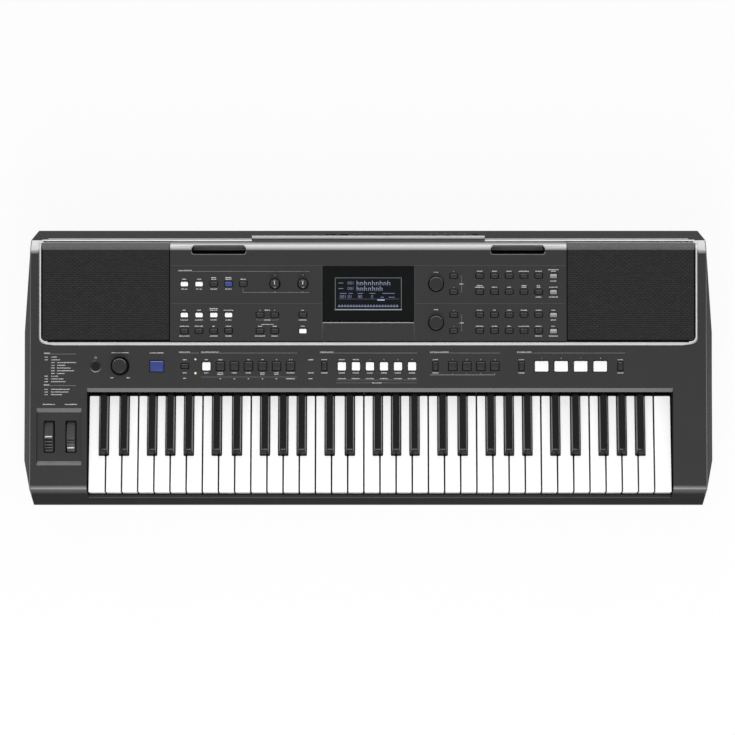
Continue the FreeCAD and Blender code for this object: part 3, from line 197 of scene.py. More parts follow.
def normal_parts(tree):
    return parts_of(tree, tree.nodes.new("ShaderNodeNewGeometry").outputs["Normal"])


def add_noise(tree, coords, scale, detail):
    inputs = {"Vector": coords, "Scale": scale, "Detail": detail}
    return put(tree, "ShaderNodeTexNoise", inputs).outputs["Fac"]


def mapped(tree, value, low, high, to_low=0.0, to_high=1.0):
    """Straight line from (low, to_low) to (high, to_high), clamped at both."""
    ends = {"Value": value, "From Min": low, "From Max": high, "To Min": to_low, "To Max": to_high}
    return put(tree, "ShaderNodeMapRange", ends).outputs["Result"]


def spread(tree, noise, low, high):
    """Noise from 0.3 to 0.7 stretched to low and high."""
    return mapped(tree, noise, 0.3, 0.7, low, high)


def two_tones(tree, value, dark, light):
    """Colour between dark and light by a value from 0 to 1."""
    mix = tree.nodes.new("ShaderNodeMix")
    mix.data_type = "RGBA"
    return feed(tree, mix, {"A": (*dark, 1.0), "B": (*light, 1.0), "Factor": value}).outputs["Result"]


def bumped(tree, height, depth_mm, strength):
    """Normal over a height from 0 to 1 that stands for depth_mm."""
    inputs = {"Height": height, "Distance": depth_mm * MM, "Strength": strength}
    return put(tree, "ShaderNodeBump", inputs).outputs["Normal"]


def new_finish(name):
    """Node tree and shader of a new material, kept by its name for the pieces."""
    finishes[name] = bpy.data.materials.new(name)
    finishes[name].use_nodes = True
    tree = finishes[name].node_tree
    return tree, tree.nodes["Principled BSDF"]


# %% Gloss that depends on the way a face looks
GLOSS_IOR = 2.5


def gloss_by_facing(tree, shader, stops):
    """Head-on reflection over the normal's Y part (-1 player, 0 up, 1 away), none on upright walls.

    A mirror share m needs the level m / (2 F), with F = ((IOR - 1) / (IOR + 1))^2."""
    normal = normal_parts(tree)
    curve = put(tree, "ShaderNodeValToRGB", {"Fac": mapped(tree, normal["Y"], -1.0, 1.0)})
    while len(curve.color_ramp.elements) < len(stops):
        curve.color_ramp.elements.new(0.5)
    for element, (facing, mirror) in zip(curve.color_ramp.elements, stops):
        level = mirror / (2 * ((GLOSS_IOR - 1) / (GLOSS_IOR + 1)) ** 2)
        element.position = 0.5 + 0.5 * facing
        element.color = (level, level, level, 1.0)
    level = combined(tree, "MULTIPLY", curve.outputs["Color"], mapped(tree, normal["Z"], 0.2, 0.55))
    feed(tree, shader, {"IOR": GLOSS_IOR, "Specular IOR Level": level})


# %% Moulded plastic


def moulded(name, colour, rough, grain_mm=0.5, depth_mm=0.03, drift=0.05, gloss=0.3, metal=0.0, glow=None,
            facing=None):
    """Base colour = colour x (1 +- drift), roughness = rough +- 0.04, bump from grain of grain_mm.

    A glow counts for faces that look up: the own light of the lamps and the LCD, and painted light on the
    white keys and caps. Facing gives the head-on reflection by normal Y."""
    tree, shader = new_finish(name)
    coords = object_coords(tree)
    cloud = spread(tree, add_noise(tree, coords, 25.0, 3.0), 0.0, 1.0)
    grain = add_noise(tree, coords, 1000.0 / grain_mm, 2.0)
    dark = tuple(c * (1 - drift) for c in tone(colour))
    light = tuple(min(1.0, c * (1 + drift)) for c in tone(colour))
    feed(tree, shader, {
        "Base Color": two_tones(tree, cloud, dark, light),
        "Roughness": spread(tree, grain, rough - 0.04, rough + 0.04),
        "Normal": bumped(tree, grain, depth_mm, 0.6), "Metallic": metal, "Specular IOR Level": gloss,
    })
    if facing:
        gloss_by_facing(tree, shader, facing)
    if glow:
        strength = mapped(tree, normal_parts(tree)["Z"], 0.5, 0.9, 0.0, glow[1])
        feed(tree, shader, {"Emission Color": (*tone(glow[0]), 1.0), "Emission Strength": strength})


def painted_sheen_by_height(finish, low, high, dark, light):
    """Base colour from dark to light between two heights in metres: a painted highlight, lighter towards the
    top.
    """
    tree = finishes[finish].node_tree
    height = mapped(tree, parts_of(tree, object_coords(tree))["Z"], low, high)
    colour = two_tones(tree, height, tone(dark), tone(light))
    feed(tree, tree.nodes["Principled BSDF"], {"Base Color": colour})


# %% Gloss of edges: pairs of (normal Y, mirror share)
FRONT_EDGES = [(-1.0, 0.0), (-0.96, 0.0), (-0.86, 0.07), (-0.72, 0.075), (-0.62, 0.035), (-0.55, 0.012),
               (-0.3, 0.012)]
CASE_FLAT = [(-0.17, 0.024), (0.02, 0.024)]
PANEL_FLAT = [(-0.18, 0.028), (-0.13, 0.028)]
CREST = [(0.2, 0.1), (0.46, 0.1), (0.5, 0.36), (0.8, 0.36), (0.93, 0.0)]
END_CREST = [(-0.1, 0.04), (0.15, 0.16), (0.35, 0.36), (0.6, 0.36)]
ROLL = [(-0.06, 0.16), (0.05, 0.36), (0.8, 0.36), (0.96, 0.1)]
ROUND = [(-0.97, 0.0), (-0.9, 0.12), (-0.75, 0.2), (-0.65, 0.11), (-0.57, 0.03), (-0.3, 0.022),
         (-0.12, 0.024)]
DISH = [(-1.0, 0.01), (-0.2, 0.01), (0.0, 0.04), (0.25, 0.4)]
CAP_EDGES = [(-1.0, 0.0), (-0.3, 0.022), (0.0, 0.022), (0.3, 0.16), (0.9, 0.16)]
KNOB_EDGES = [(-1.0, 0.0), (-0.3, 0.02), (0.0, 0.02), (0.3, 0.14), (0.8, 0.14), (1.0, 0.0)]
CLOTH = [(-1.0, 0.012), (-0.12, 0.012), (0.0, 0.08), (1.0, 0.08)]

# %% Case and panel finishes
moulded("case_grey", 40, 0.34, facing=FRONT_EDGES + CASE_FLAT + CREST)
moulded("panel_grey", 34, 0.3, facing=FRONT_EDGES + PANEL_FLAT + ROLL)
moulded("dish_grey", 36, 0.3, facing=DISH)
moulded("crest_grey", 40, 0.34, facing=END_CREST)
moulded("round_grey", 40, 0.34, facing=ROUND)
# The block fronts' colour runs from dark low down to light near the rounded edge: a painted highlight.
moulded("front_painted_sheen", 40, 0.6, gloss=0.0)
painted_sheen_by_height("front_painted_sheen", 0.059, 0.0735, 40, 82)
moulded("rear_grey", 36, 0.6, gloss=0.04)
moulded("side_grey", 46, 0.46, gloss=0.05)
moulded("base_black", 46, 0.6, 0.9, 0.06, gloss=0.1)
moulded("silver_trim", 205, 0.42, 0.3, 0.01, metal=0.5)
# Pale grey for the trim's front lip: partly the trim's own silver, partly painted highlight.
moulded("lip_silver_and_painted_highlight", 186, 0.5, 0.4, 0.01, gloss=0.05)
# Near-black, used for the volume knob's skirt and as painted shade in gaps, grooves, slot floors and on the
# key tails.
moulded("near_black_and_painted_shade", 8, 0.7, 0.6, gloss=0.04)
# Grey for the seam lines on the upper panel, and painted shade in the middle of the rear gap.
moulded("seam_and_gap_shade_grey", 72, 0.5, 0.5, 0.005)
# Light grey for painted highlights along edges: the end creases and the rail's edge.
moulded("painted_highlight_grey", 104, 0.5, 0.5, 0.005, gloss=0.1)
moulded("rim_grey", 132, 0.4, 0.5, 0.005)
moulded("panel_ink", 205, 0.6, 0.5, 0.005)
moulded("panel_ink_soft", 160, 0.6, 0.5, 0.005)

# %% Finishes of keys, caps, knobs and wheels
LAMP = (214, 217, 180)
# The white keys glow on faces that look up, though they are no lamp: painted light that keeps their tops
# white where shade falls.
moulded("key_ivory", 190, 0.24, 0.8, 0.004, 0.01, glow=(255, 0.54))
moulded("key_ebony", 14, 0.2, 0.4, 0.01, 0.08, gloss=0.18)
moulded("cap_dark", 32, 0.5, 0.4, facing=CAP_EDGES)
# The white caps' faint glow on faces that look up is painted light.
moulded("cap_white", 244, 0.45, 0.4, 0.01, 0.01, glow=(255, 0.06))
moulded("cap_grey", 126, 0.45, 0.4)
moulded("cap_pale", 172, 0.45, 0.4)
moulded("cap_blue", (52, 66, 128), 0.4, 0.4, facing=CAP_EDGES)
moulded("cap_blue_painted_highlight", (112, 126, 184), 0.45, 0.4)
moulded("knob_black", 34, 0.36, 0.4, facing=KNOB_EDGES)
moulded("knob_shiny", (16, 16, 20), 0.14, 0.4, 0.005, gloss=0.5)
moulded("power_black", 34, 0.6, 0.4, gloss=0.04)
moulded("wheel_black", 68, 0.45, 0.5, gloss=0.15)
moulded("mark_white", 238, 0.5, 0.5, 0.005, 0.02)
moulded("lamp_lens", 224, 0.3, 0.5, 0.01, 0.03)
moulded("lamp_yellow", LAMP, 0.3, 0.5, 0.01, 0.03, glow=(LAMP, 0.3))

# %% Finishes of the display and of the inner parts
moulded("lcd_black", (10, 11, 14), 0.5, 0.5, 0.005, gloss=0.1)
moulded("lcd_glow", (160, 170, 195), 0.5, 0.5, 0.005, glow=((175, 185, 210), 0.3))
moulded("lcd_dim", (104, 110, 130), 0.5, 0.5, 0.005, glow=((104, 110, 130), 0.3))
moulded("lcd_lip", 170, 0.4, 0.5, 0.01)
moulded("lcd_frame", 112, 0.4, 0.5, 0.01)
moulded("mask_black", 20, 0.12, 0.5, 0.001, gloss=0.06)
moulded("speaker_paper", 36, 0.75, 1.2, 0.1)
moulded("board_green", (16, 44, 26), 0.45, 1.5, 0.03, 0.15)
moulded("socket_black", 24, 0.5, 0.5)
moulded("frame_plastic", 40, 0.55, 1.0)
moulded("felt_red", (62, 24, 25), 0.9, 0.3, 0.2, 0.2)
moulded("rubber_grey", 110, 0.7, 0.6)
moulded("rubber_black", 26, 0.8, 0.7, 0.08)
moulded("screw_steel", 150, 0.34, 0.4, 0.01, metal=1.0)
print("finishes:", len(finishes))

# %% Grille cloth


def woven(name, dark, light, pitch_mm):
    """Rows of stitches, each row shifted by half a stitch; the gaps between them are low and dark."""
    tree, shader = new_finish(name)
    light = tone(light)
    shaded = tuple(0.7 * c for c in light)
    cloth = put(tree, "ShaderNodeTexBrick", {
        "Vector": object_coords(tree), "Scale": 1000.0 / pitch_mm, "Brick Width": 2.4, "Row Height": 1.0,
        "Mortar Size": 0.2, "Mortar Smooth": 0.6, "Color1": (*light, 1.0), "Color2": (*shaded, 1.0),
        "Mortar": (*tone(dark), 1.0),
    })
    raised_part = combined(tree, "SUBTRACT", 1.0, cloth.outputs["Fac"])
    feed(tree, shader, {"Base Color": cloth.outputs["Color"], "Normal": bumped(tree, raised_part, 0.3, 0.7),
                        "Roughness": 0.5})
    gloss_by_facing(tree, shader, CLOTH)


woven("grille_cloth", 4, 42, 2.8)

# %% Display window


def clear_pane(name, tint):
    """Thin clear pane: light goes straight through its faint tint; the mask below it has the gloss."""
    tree = new_finish(name)[0]
    tree.nodes.clear()
    smear = spread(tree, add_noise(tree, object_coords(tree), 40.0, 2.0), 0.0, 1.0)
    pale = tuple(1.05 * c for c in tint)
    through = put(tree, "ShaderNodeBsdfTransparent", {"Color": two_tones(tree, smear, tint, pale)})
    put(tree, "ShaderNodeOutputMaterial", {"Surface": through.outputs[0]})


clear_pane("window_pane", (0.9, 0.92, 0.94))
print("grille cloth and window pane made")

# %% [markdown]
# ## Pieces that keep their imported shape
# Case, caps, panel and inner parts already have the right form. Their mesh stays as it is, and live
# modifiers round its edges: weld the loose triangles, dissolve flat ones, bevel sharp edges and even out
# the shading.

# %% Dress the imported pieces


def modify(piece, kind, **settings):
    modifier = piece.modifiers.new(kind.lower(), kind)
    for key, value in settings.items():
        setattr(modifier, key, value)


def dress(node, finish, edge_mm):
    """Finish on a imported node, with its edges rounded by edge_mm."""
    piece = nodes[node]
    piece.data.materials.clear()
    piece.data.materials.append(finishes[finish])
    attribute = piece.data.attributes.get("custom_normal")
    if attribute:
        piece.data.attributes.remove(attribute)
    piece.data.polygons.foreach_set("use_smooth", np.ones(len(piece.data.polygons), dtype=bool))
    modify(piece, "WELD", merge_threshold=1e-5)
    modify(piece, "DECIMATE", decimate_type="DISSOLVE", angle_limit=math.radians(0.5))
    modify(piece, "BEVEL", width=edge_mm * MM, segments=2, limit_method="ANGLE", angle_limit=math.radians(32),
           harden_normals=False)
    modify(piece, "WEIGHTED_NORMAL", keep_sharp=True)


kept = {
    "top_case": ("case_grey", 0.5), "bottom_case": ("base_black", 0.5), "rear_panel": ("rear_grey", 0.5),
    "end_cap_left": ("side_grey", 0.8), "end_cap_right": ("side_grey", 0.8),
    "control_panel": ("panel_grey", 0.35), "trim_frame": ("silver_trim", 0.4),
    "grille_left": ("grille_cloth", 0.3), "grille_right": ("grille_cloth", 0.3),
    "display_window": ("window_pane", 0.15), "lcd_module": ("lcd_black", 0.2),
    "loudspeakers": ("speaker_paper", 0.5), "circuit_boards": ("board_green", 0.1),
    "potentiometers": ("socket_black", 0.3), "indicator_lamps": ("lamp_lens", 0.3),
    "key_frame": ("frame_plastic", 0.4), "key_felts": ("felt_red", 0.6),
    "contact_rubbers": ("rubber_grey", 0.4), "jack_sockets": ("socket_black", 0.3),
    "case_screws": ("screw_steel", 0.4), "rubber_feet": ("rubber_black", 0.8),
    "wheel_box": ("frame_plastic", 0.3),
}
for node, (finish, edge_mm) in kept.items():
    dress(node, finish, edge_mm)
print("dressed:", len(kept))

# %% [markdown]
# ## Tools for new surfaces
# A button cap, a key and a knob are all the same idea: a closed loop of points, repeated at several heights
# with a little more inset each time. The helpers below make loops, stack them and join the result, always
# as whole arrays. The two panels are tilted, so a last helper turns panel places into places in the room.

# %% Panels


def on_panel(origin, tilt, surface=0.0):
    """(x, t, n) becomes (x, y0 + t cos a - m sin a, z0 + t sin a + m cos a), with m = n + surface."""
    c = math.cos(math.radians(tilt))
    s = math.sin(math.radians(tilt))

    def place(points):
        x, t, n = (np.asarray(points, dtype=float) + [0.0, 0.0, surface]).T
        return np.stack([x, origin[0] + t * c - n * s, origin[1] + t * s + n * c], axis=1)

    return place


LOWER_TILT, UPPER_TILT = 7.1, 8.9
FRONT_Y, FRONT_Z, BEND_Y = -190.0, 79.5, 19.0
BEND_Z = FRONT_Z + (BEND_Y - FRONT_Y) * math.tan(math.radians(LOWER_TILT))
on_lower = on_panel((FRONT_Y, FRONT_Z), LOWER_TILT)
on_upper = on_panel((BEND_Y, BEND_Z), UPPER_TILT, 6.5)
print("bend at z =", round(BEND_Z, 2))

# %% Loops and stacks


def rounded_loop(width, length, radius, steps=5):
    """Corner arcs: centres at the inset corners, plus radius x (cos a, sin a) a quarter turn each."""
    a = np.linspace(0.0, np.pi / 2, steps)
    angles = (a[None, :] + np.pi / 2 * np.arange(4)[:, None]).ravel()
    corners = np.array([[1, 1], [-1, 1], [-1, -1], [1, -1]]) * [width / 2 - radius, length / 2 - radius]
    return np.repeat(corners, steps, axis=0) + radius * np.stack([np.cos(angles), np.sin(angles)], axis=1)


def round_corners(points, reach, steps=4):
    """Each corner becomes the curve (1-s)^2 A + 2s(1-s) C + s^2 B, with A and B at reach from the corner."""
    corner = np.asarray(points, dtype=float)
    back = np.roll(corner, 1, axis=0) - corner
    ahead = np.roll(corner, -1, axis=0) - corner
    start = corner + reach * back / np.linalg.norm(back, axis=1)[:, None]
    end = corner + reach * ahead / np.linalg.norm(ahead, axis=1)[:, None]
    s = np.linspace(0.0, 1.0, steps)[None, :, None]
    curve = (1 - s) ** 2 * start[:, None] + 2 * s * (1 - s) * corner[:, None] + s ** 2 * end[:, None]
    return curve.reshape(-1, 2)


def inset_loop(loop, distance):
    """Points moved inwards along the mitre of their two edges."""
    edge = np.roll(loop, -1, axis=0) - loop
    edge /= np.linalg.norm(edge, axis=1)[:, None]
    inward = np.stack([-edge[:, 1], edge[:, 0]], axis=1)
    before = np.roll(inward, 1, axis=0)
    mitre = (inward + before) / (1 + np.sum(inward * before, axis=1))[:, None]
    return loop + distance * mitre


def stack(rings):
    """Quads between neighbouring rings (count, points, 3), and a cap on the first and the last."""
    count, size = rings.shape[:2]
    low = np.arange((count - 1) * size).reshape(count - 1, size)
    turn = np.roll(low, -1, axis=1)
    quads = np.stack([low, turn, turn + size, low + size], axis=-1).reshape(-1, 4).tolist()
    last = (count - 1) * size
    caps = [list(range(size))[::-1], list(range(last, last + size))]
    return rings.reshape(-1, 3), quads + caps


def raised(loop, profile):
    """Loop carried up a profile of (inset, height)."""
    rings = [np.column_stack([inset_loop(loop, inset), np.full(len(loop), height)])
             for inset, height in profile]
    return stack(np.array(rings))


def gather(shapes):
    """Several (points, faces) as one."""
    points = np.concatenate([shape[0] for shape in shapes])
    starts = np.cumsum([0] + [len(shape[0]) for shape in shapes[:-1]])
    faces = [[i + start for i in face] for shape, start in zip(shapes, starts) for face in shape[1]]
    return points, faces


def copies(shape, places):
    """The shape once at each (x, t)."""
    moved = [(shape[0] + np.array([x, t, 0.0]), shape[1]) for x, t in places]
    return gather(moved)


def add_piece(name, shape, finish, body, slot, stands_for=(), sharp=38):
    """Mesh in metres with smooth faces and sharp edges beyond an angle, riding on a body."""
    mesh = bpy.data.meshes.new(name)
    mesh.from_pydata((shape[0] * MM).tolist(), [], shape[1])
    mesh.polygons.foreach_set("use_smooth", np.ones(len(mesh.polygons), dtype=bool))
    mesh.set_sharp_from_angle(angle=math.radians(sharp))
    mesh.materials.append(finishes[finish])
    piece = bpy.data.objects.new(name, mesh)
    scene.collection.objects.link(piece)
    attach(piece, body)
    if stands_for:
        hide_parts(*stands_for)
    print(name, len(mesh.polygons), "faces")
    return piece


def lay(name, shape, place, finish, slot, body="case", rise=0.0, **more):
    """A piece given as (x, t, n) on a panel, lifted by rise along the panel's normal."""
    points, faces = shape
    return add_piece(name, (place(points + [0.0, 0.0, rise]), faces), finish, body, slot, **more)


# %% [markdown]
# ## White keys
# A white key is a moulding with a flat top, softly rounded edges and a lip that hangs down in front. Black
# keys stand in its cut-outs. Its plan is a polygon of four to eight corners; each corner is rounded, and
# the loop is carried up with a small inset at the top edge. Behind the playing surface the tail goes on
# below the fallboard; it lies in the dark there.
# The tail is coloured near-black there: painted shade under the fallboard.

# %% Key plan
PITCH = 23.5
KEYS_LEFT = -406.0
KEY_FRONT = -193.5
KEY_END = -52.3
KEY_TOP = 72.0
KEY_BOTTOM = 62.0
TAIL_END = 18.0
SHARP_FRONT = -139.0
SHARP_SHIFT = {0: -2.8, 1: 3.1, 3: -3.1, 4: 0.0, 5: 3.4}
CUT_HALF = 7.5
CUT_FRONT = -140.5
KEY_GAP = 2.0
LAST = 35
END_REACH = 1.0


def sharp_x(index):
    """Middle of the black key after white key index, or None."""
    if index < 0 or index >= LAST or index % 7 not in SHARP_SHIFT:
        return None
    return KEYS_LEFT + (index + 1) * PITCH + SHARP_SHIFT[index % 7]


def key_sides(index):
    """Left and right edge in front, and behind, where the black keys cut in."""
    left = KEYS_LEFT + index * PITCH + (KEY_GAP / 2 if index else -END_REACH)
    right = KEYS_LEFT + (index + 1) * PITCH - (KEY_GAP / 2 if index < LAST else -END_REACH)
    before = sharp_x(index - 1)
    after = sharp_x(index)
    rear_left = left if before is None else before + CUT_HALF
    rear_right = right if after is None else after - CUT_HALF
    return left, right, rear_left, rear_right


def white_key(index):
    """Playing surface with its lip in front."""
    left, right, rear_left, rear_right = key_sides(index)
    plan = [(left, KEY_FRONT), (right, KEY_FRONT)]
    if rear_right < right:
        plan += [(right, CUT_FRONT), (rear_right, CUT_FRONT)]
    plan += [(rear_right, KEY_END), (rear_left, KEY_END)]
    if rear_left > left:
        plan += [(rear_left, CUT_FRONT), (left, CUT_FRONT)]
    top_edge = [(0.0, KEY_BOTTOM), (0.0, 71.0), (0.1, 71.45), (0.35, 71.8), (0.8, KEY_TOP)]
    surface = raised(round_corners(plan, 1.3), top_edge)
    middle = (left + right) / 2
    lip = rounded_loop(right - left, 4.0, 1.0) + [middle, KEY_FRONT + 2.0]
    lip = raised(lip, [(0.6, 54.0), (0.0, 54.6), (0.0, 62.2)])
    return gather([surface, lip])


def key_tail(index):
    """Bar from the playing surface to the pivot, with a low step across it."""
    rear_left, rear_right = key_sides(index)[2:]
    middle = (rear_left + rear_right) / 2
    tail = rounded_loop(rear_right - rear_left, TAIL_END - KEY_END, 0.5) + [middle, (TAIL_END + KEY_END) / 2]
    tail = raised(tail, [(0.0, KEY_BOTTOM + 1.0), (0.0, 69.6), (0.2, 69.8)])
    step = rounded_loop(rear_right - rear_left, 1.6, 0.5) + [middle, -50.2]
    step = raised(step, [(0.0, 69.0), (0.0, 71.0), (0.3, 71.3)])
    return gather([tail, step])


# %% Key combs
for octave in range(1, 6):
    first = 7 * (octave - 1)
    for name, members in (("c_e_g_b", (0, 2, 4, 6)), ("d_f_a", (1, 3, 5))):
        node = "octave_%d_%s" % (octave, name)
        shape = gather([white_key(first + n) for n in members])
        add_piece("ivory_%d_%s" % (octave, name), shape, "key_ivory", node, "key_white", (node,))
        # Each tail is coloured near-black as painted shade under the fallboard.
        shape = gather([key_tail(first + n) for n in members])
        add_piece("tails_%d_%s" % (octave, name), shape, "near_black_and_painted_shade", node, "key_black")
add_piece("ivory_top_c", white_key(LAST), "key_ivory", "top_c", "key_white", ("top_c",))
add_piece("tails_top_c", key_tail(LAST), "near_black_and_painted_shade", "top_c", "key_black")

# %% [markdown]
# ## Black keys
# A black key is a long bar whose sides lean in, with a sloping nose in front. Its cross-section is the same
# all along, only its height changes over the nose. So it is a surface over (station along the key, point
# round the section): the height h sets the section, whose shoulders are rounded.

# %% Black key


def sharp_section(height):
    """Half outline mirrored: foot at 6.75, side leaning in to 6.75 - 0.205 (h - 2.5), shoulder arc of 1.3."""
    a = np.linspace(0.0, np.pi / 2, 6)
    half = 6.75 - 0.205 * np.maximum(height - 2.5, 0.0)
    radius = np.minimum(1.3, 0.5 * height)
    arc_x = (half - radius)[:, None] + radius[:, None] * np.cos(a)
    arc_z = (height - radius)[:, None] + radius[:, None] * np.sin(a)
    foot = np.full((len(height), 2), 6.75)
    foot_z = np.column_stack([np.full_like(height, -9.0), np.minimum(1.0, 0.4 * height)])
    x = np.hstack([foot, arc_x])
    z = np.hstack([foot_z, arc_z])
    return np.hstack([x, -x[:, ::-1]]), np.hstack([z, z[:, ::-1]])


def sharp_key():
    """Height along the key: nose rising from 1.6 to 12 over 8.6 mm with a smooth shoulder, then level."""
    nose = np.array([0.0, 0.25, 0.8, 1.8, 3.0, 4.2, 5.2, 6.0, 6.8, 7.6, 8.6])
    height = np.array([1.6, 2.6, 3.5, 5.2, 7.2, 9.2, 10.6, 11.3, 11.75, 11.95, 12.0])
    y = np.append(SHARP_FRONT + nose, [-40.0, TAIL_END])
    h = np.append(height, [12.0, 12.0])
    x, z = sharp_section(h)
    rings = np.stack([x, np.repeat(y[:, None], x.shape[1], axis=1), z + KEY_TOP], axis=2)
    rings[-1, :, 2] = np.minimum(rings[-1, :, 2], KEY_TOP)
    points, faces = stack(rings)
    return points, [face[::-1] for face in faces]


bar = sharp_key()
for octave in range(1, 6):
    node = "octave_%d_sharps" % octave
    places = [(sharp_x(7 * (octave - 1) + n), 0.0) for n in SHARP_SHIFT]
    add_piece("ebony_%d" % octave, copies(bar, places), "key_ebony", node, "key_black", (node,))

# %% [markdown]
# ## Buttons
# All caps are the same moulding in five sizes: straight sides with a slight draft, a soft top edge and a
# flat top. One loop per size is carried up its profile, copied to every place of its group and put on its
# panel.

# %% Button places
COLUMN = 21.4
SQUARE_PITCH, PAD_PITCH = 20.4, 28.4
ROWS = {1: 98.4, 2: 86.8, 3: 75.2, 4: 41.8, 5: 30.3, 6: 18.5}
LEFT, OCTAVE, MENU, DIAL, SIDE, VOICE = -267.2, -157.2, -95.0, 98.4, 124.1, 161.9
LOWER_ROW = 178.0
POWER_X, VOLUME_X, ARTICULATION_X, MODE_X = -396.5, -361.0, -307.5, -266.8
TRANSPORT, TRACK, REGISTER, PADS = -235.4, -38.4, 122.8, 252.0
NARROW_X = (-63.9, 97.7, 222.8, 366.5)
SMALL, SQUARE, NARROW, PAD, LARGE = (11.6, 7.3), (12.8, 12.8), (8.0, 12.8), (20.4, 16.0), (20.6, 16.2)


def in_row(x, t, count, pitch=COLUMN):
    return [(x + i * pitch, t) for i in range(count)]


upper_groups = {
    "left_white_buttons": ("white", SMALL, in_row(LEFT, ROWS[2], 2) + in_row(LEFT, ROWS[4], 4)
                           + [(MENU, ROWS[6])]),
    "left_dark_buttons": ("dark", SMALL, in_row(LEFT + 2 * COLUMN, ROWS[2], 2, 2 * COLUMN)
                          + in_row(LEFT, ROWS[6], 4) + in_row(OCTAVE, ROWS[4], 2) + in_row(OCTAVE, ROWS[6], 2)
                          + [(MENU, ROWS[4])]),
    "motion_button": ("blue", SMALL, [(LEFT + 3 * COLUMN, ROWS[2])]),
    "dial_side_buttons": ("dark", SMALL, [(SIDE, ROWS[r]) for r in (1, 3, 4, 6)]),
    "voice_buttons": ("dark", SMALL, in_row(VOICE, ROWS[1], 5) + in_row(VOICE, ROWS[3], 5)),
    "style_buttons": ("dark", SMALL, in_row(VOICE, ROWS[4], 5) + in_row(VOICE, ROWS[6], 5)),
    "function_buttons": ("grey", SMALL, [(VOICE + 5 * COLUMN, ROWS[r]) for r in (1, 3, 4, 6)]),
}
lower_groups = {
    "articulation_button": ("blue", LARGE, [(ARTICULATION_X, LOWER_ROW)]),
    "lower_white_buttons": ("white", SQUARE, [(TRANSPORT, LOWER_ROW)]
                            + in_row(TRACK, LOWER_ROW, 6, SQUARE_PITCH)),
    "registration_buttons": ("dark", SQUARE, in_row(REGISTER, LOWER_ROW, 4, SQUARE_PITCH)),
    "narrow_buttons": ("dark", NARROW, [(x, LOWER_ROW) for x in NARROW_X]),
    "pads": ("white", PAD, in_row(PADS, LOWER_ROW, 4, PAD_PITCH)),
}

# %% Button caps


def cap(size):
    """Inset grows from 0.4 at the panel to 0.6 under the soft top edge, whose arc ends 0.7 further in."""
    loop = rounded_loop(size[0], size[1], 1.9)
    return raised(loop, [(0.3, -2.0), (0.4, 0.0), (0.6, 1.6), (0.68, 2.0), (0.9, 2.3), (1.3, 2.42)])


for groups, place in ((upper_groups, on_upper), (lower_groups, on_lower)):
    for node, (kind, size, places) in groups.items():
        caps = copies(cap(size), places)
        lay(node + "_caps", caps, place, "cap_" + kind, "button_" + kind, node, stands_for=(node,))
squares = copies(cap(SQUARE), in_row(TRANSPORT + SQUARE_PITCH, LOWER_ROW, 6, SQUARE_PITCH))
caps = gather([copies(cap(SMALL), [(MODE_X, LOWER_ROW)]), squares])
lay("transport_buttons_caps", caps, on_lower, "cap_dark", "button_dark", "transport_buttons",
    stands_for=("transport_buttons",))

# %% [markdown]
# ## Knobs, dials and the power button
# These are surfaces of revolution: a profile of (radius, height) turned about the panel's normal. Fine ribs
# on the grip are a ripple of the radius with the angle, strong on the side and gone on the top.

# %% Turned surfaces


def turned(profile, ribs=0, depth=0.0, steps=72):
    """Radius r, less depth x (0.5 + 0.5 cos(ribs a)) on the grip, the second and third profile point."""
    radius, height = np.array(profile, dtype=float).T
    count = max(steps, 6 * ribs)
    a = np.linspace(0.0, 2 * np.pi, count, endpoint=False)
    r = np.repeat(radius[:, None], count, axis=1)
    r[1:3] -= depth * (0.5 + 0.5 * np.cos(ribs * a))
    rings = np.stack([r * np.cos(a), r * np.sin(a), np.repeat(height[:, None], count, axis=1)], axis=2)
    return stack(rings)


def lined_ring(profile):
    """Open band: a profile of (radius, height) turned once, without caps."""
    points, faces = turned(profile, steps=64)
    return points, faces[:-2]


# %% Knobs and dials
KNOB_N = 0.4
CONTROL_X = {"control_knob_left": -135.8, "control_knob_right": -95.0}
DIAL_T = {"voice_dial": ROWS[2], "style_dial": ROWS[5]}
volume = turned([(10.9, 3.4), (10.9, 4.2), (10.7, 12.2), (10.4, 13.0), (9.7, 13.5), (8.9, 13.6), (8.6, 13.55),
                 (8.0, 13.55)], 40, 0.35)
skirt = turned([(13.6, 0.2), (13.7, 0.6), (13.5, 2.8), (13.1, 3.4), (10.4, 3.6)])
dial = turned([(10.0, 0.2), (10.2, 0.6), (10.2, 6.4), (9.9, 7.1), (9.4, 7.5), (8.8, 7.6), (8.4, 7.58),
               (7.8, 7.58)], 48, 0.25)
control = turned([(7.2, 0.2), (7.3, 0.6), (7.0, 8.0), (6.7, 9.6), (6.0, 10.9), (4.9, 11.4), (4.1, 11.3),
                  (3.4, 10.9), (2.0, 10.6)], 28, 0.3)
power = turned([(5.6, -2.6), (5.9, -0.6), (5.7, -0.1), (5.3, 0.1), (4.8, 0.1), (4.2, 0.1)])


def add_turned(node, shape, x, t, place, finish, slot="knob_plastic", rise=KNOB_N):
    lay(node + "_turned", copies(shape, [(x, t)]), place, finish, slot, node, rise, stands_for=(node,))


add_turned("volume_knob", volume, VOLUME_X, LOWER_ROW, on_lower, "knob_black")
for node, x in CONTROL_X.items():
    add_turned(node, control, x, ROWS[2], on_upper, "knob_shiny")
for node, t in DIAL_T.items():
    add_turned(node, dial, DIAL, t, on_upper, "knob_black")
add_turned("power_button", power, POWER_X, LOWER_ROW, on_lower, "power_black", "button_dark", 0.0)
skirt = copies(skirt, [(VOLUME_X, LOWER_ROW)])
lay("volume_skirt", skirt, on_lower, "near_black_and_painted_shade", "knob_plastic", "volume_knob", KNOB_N)

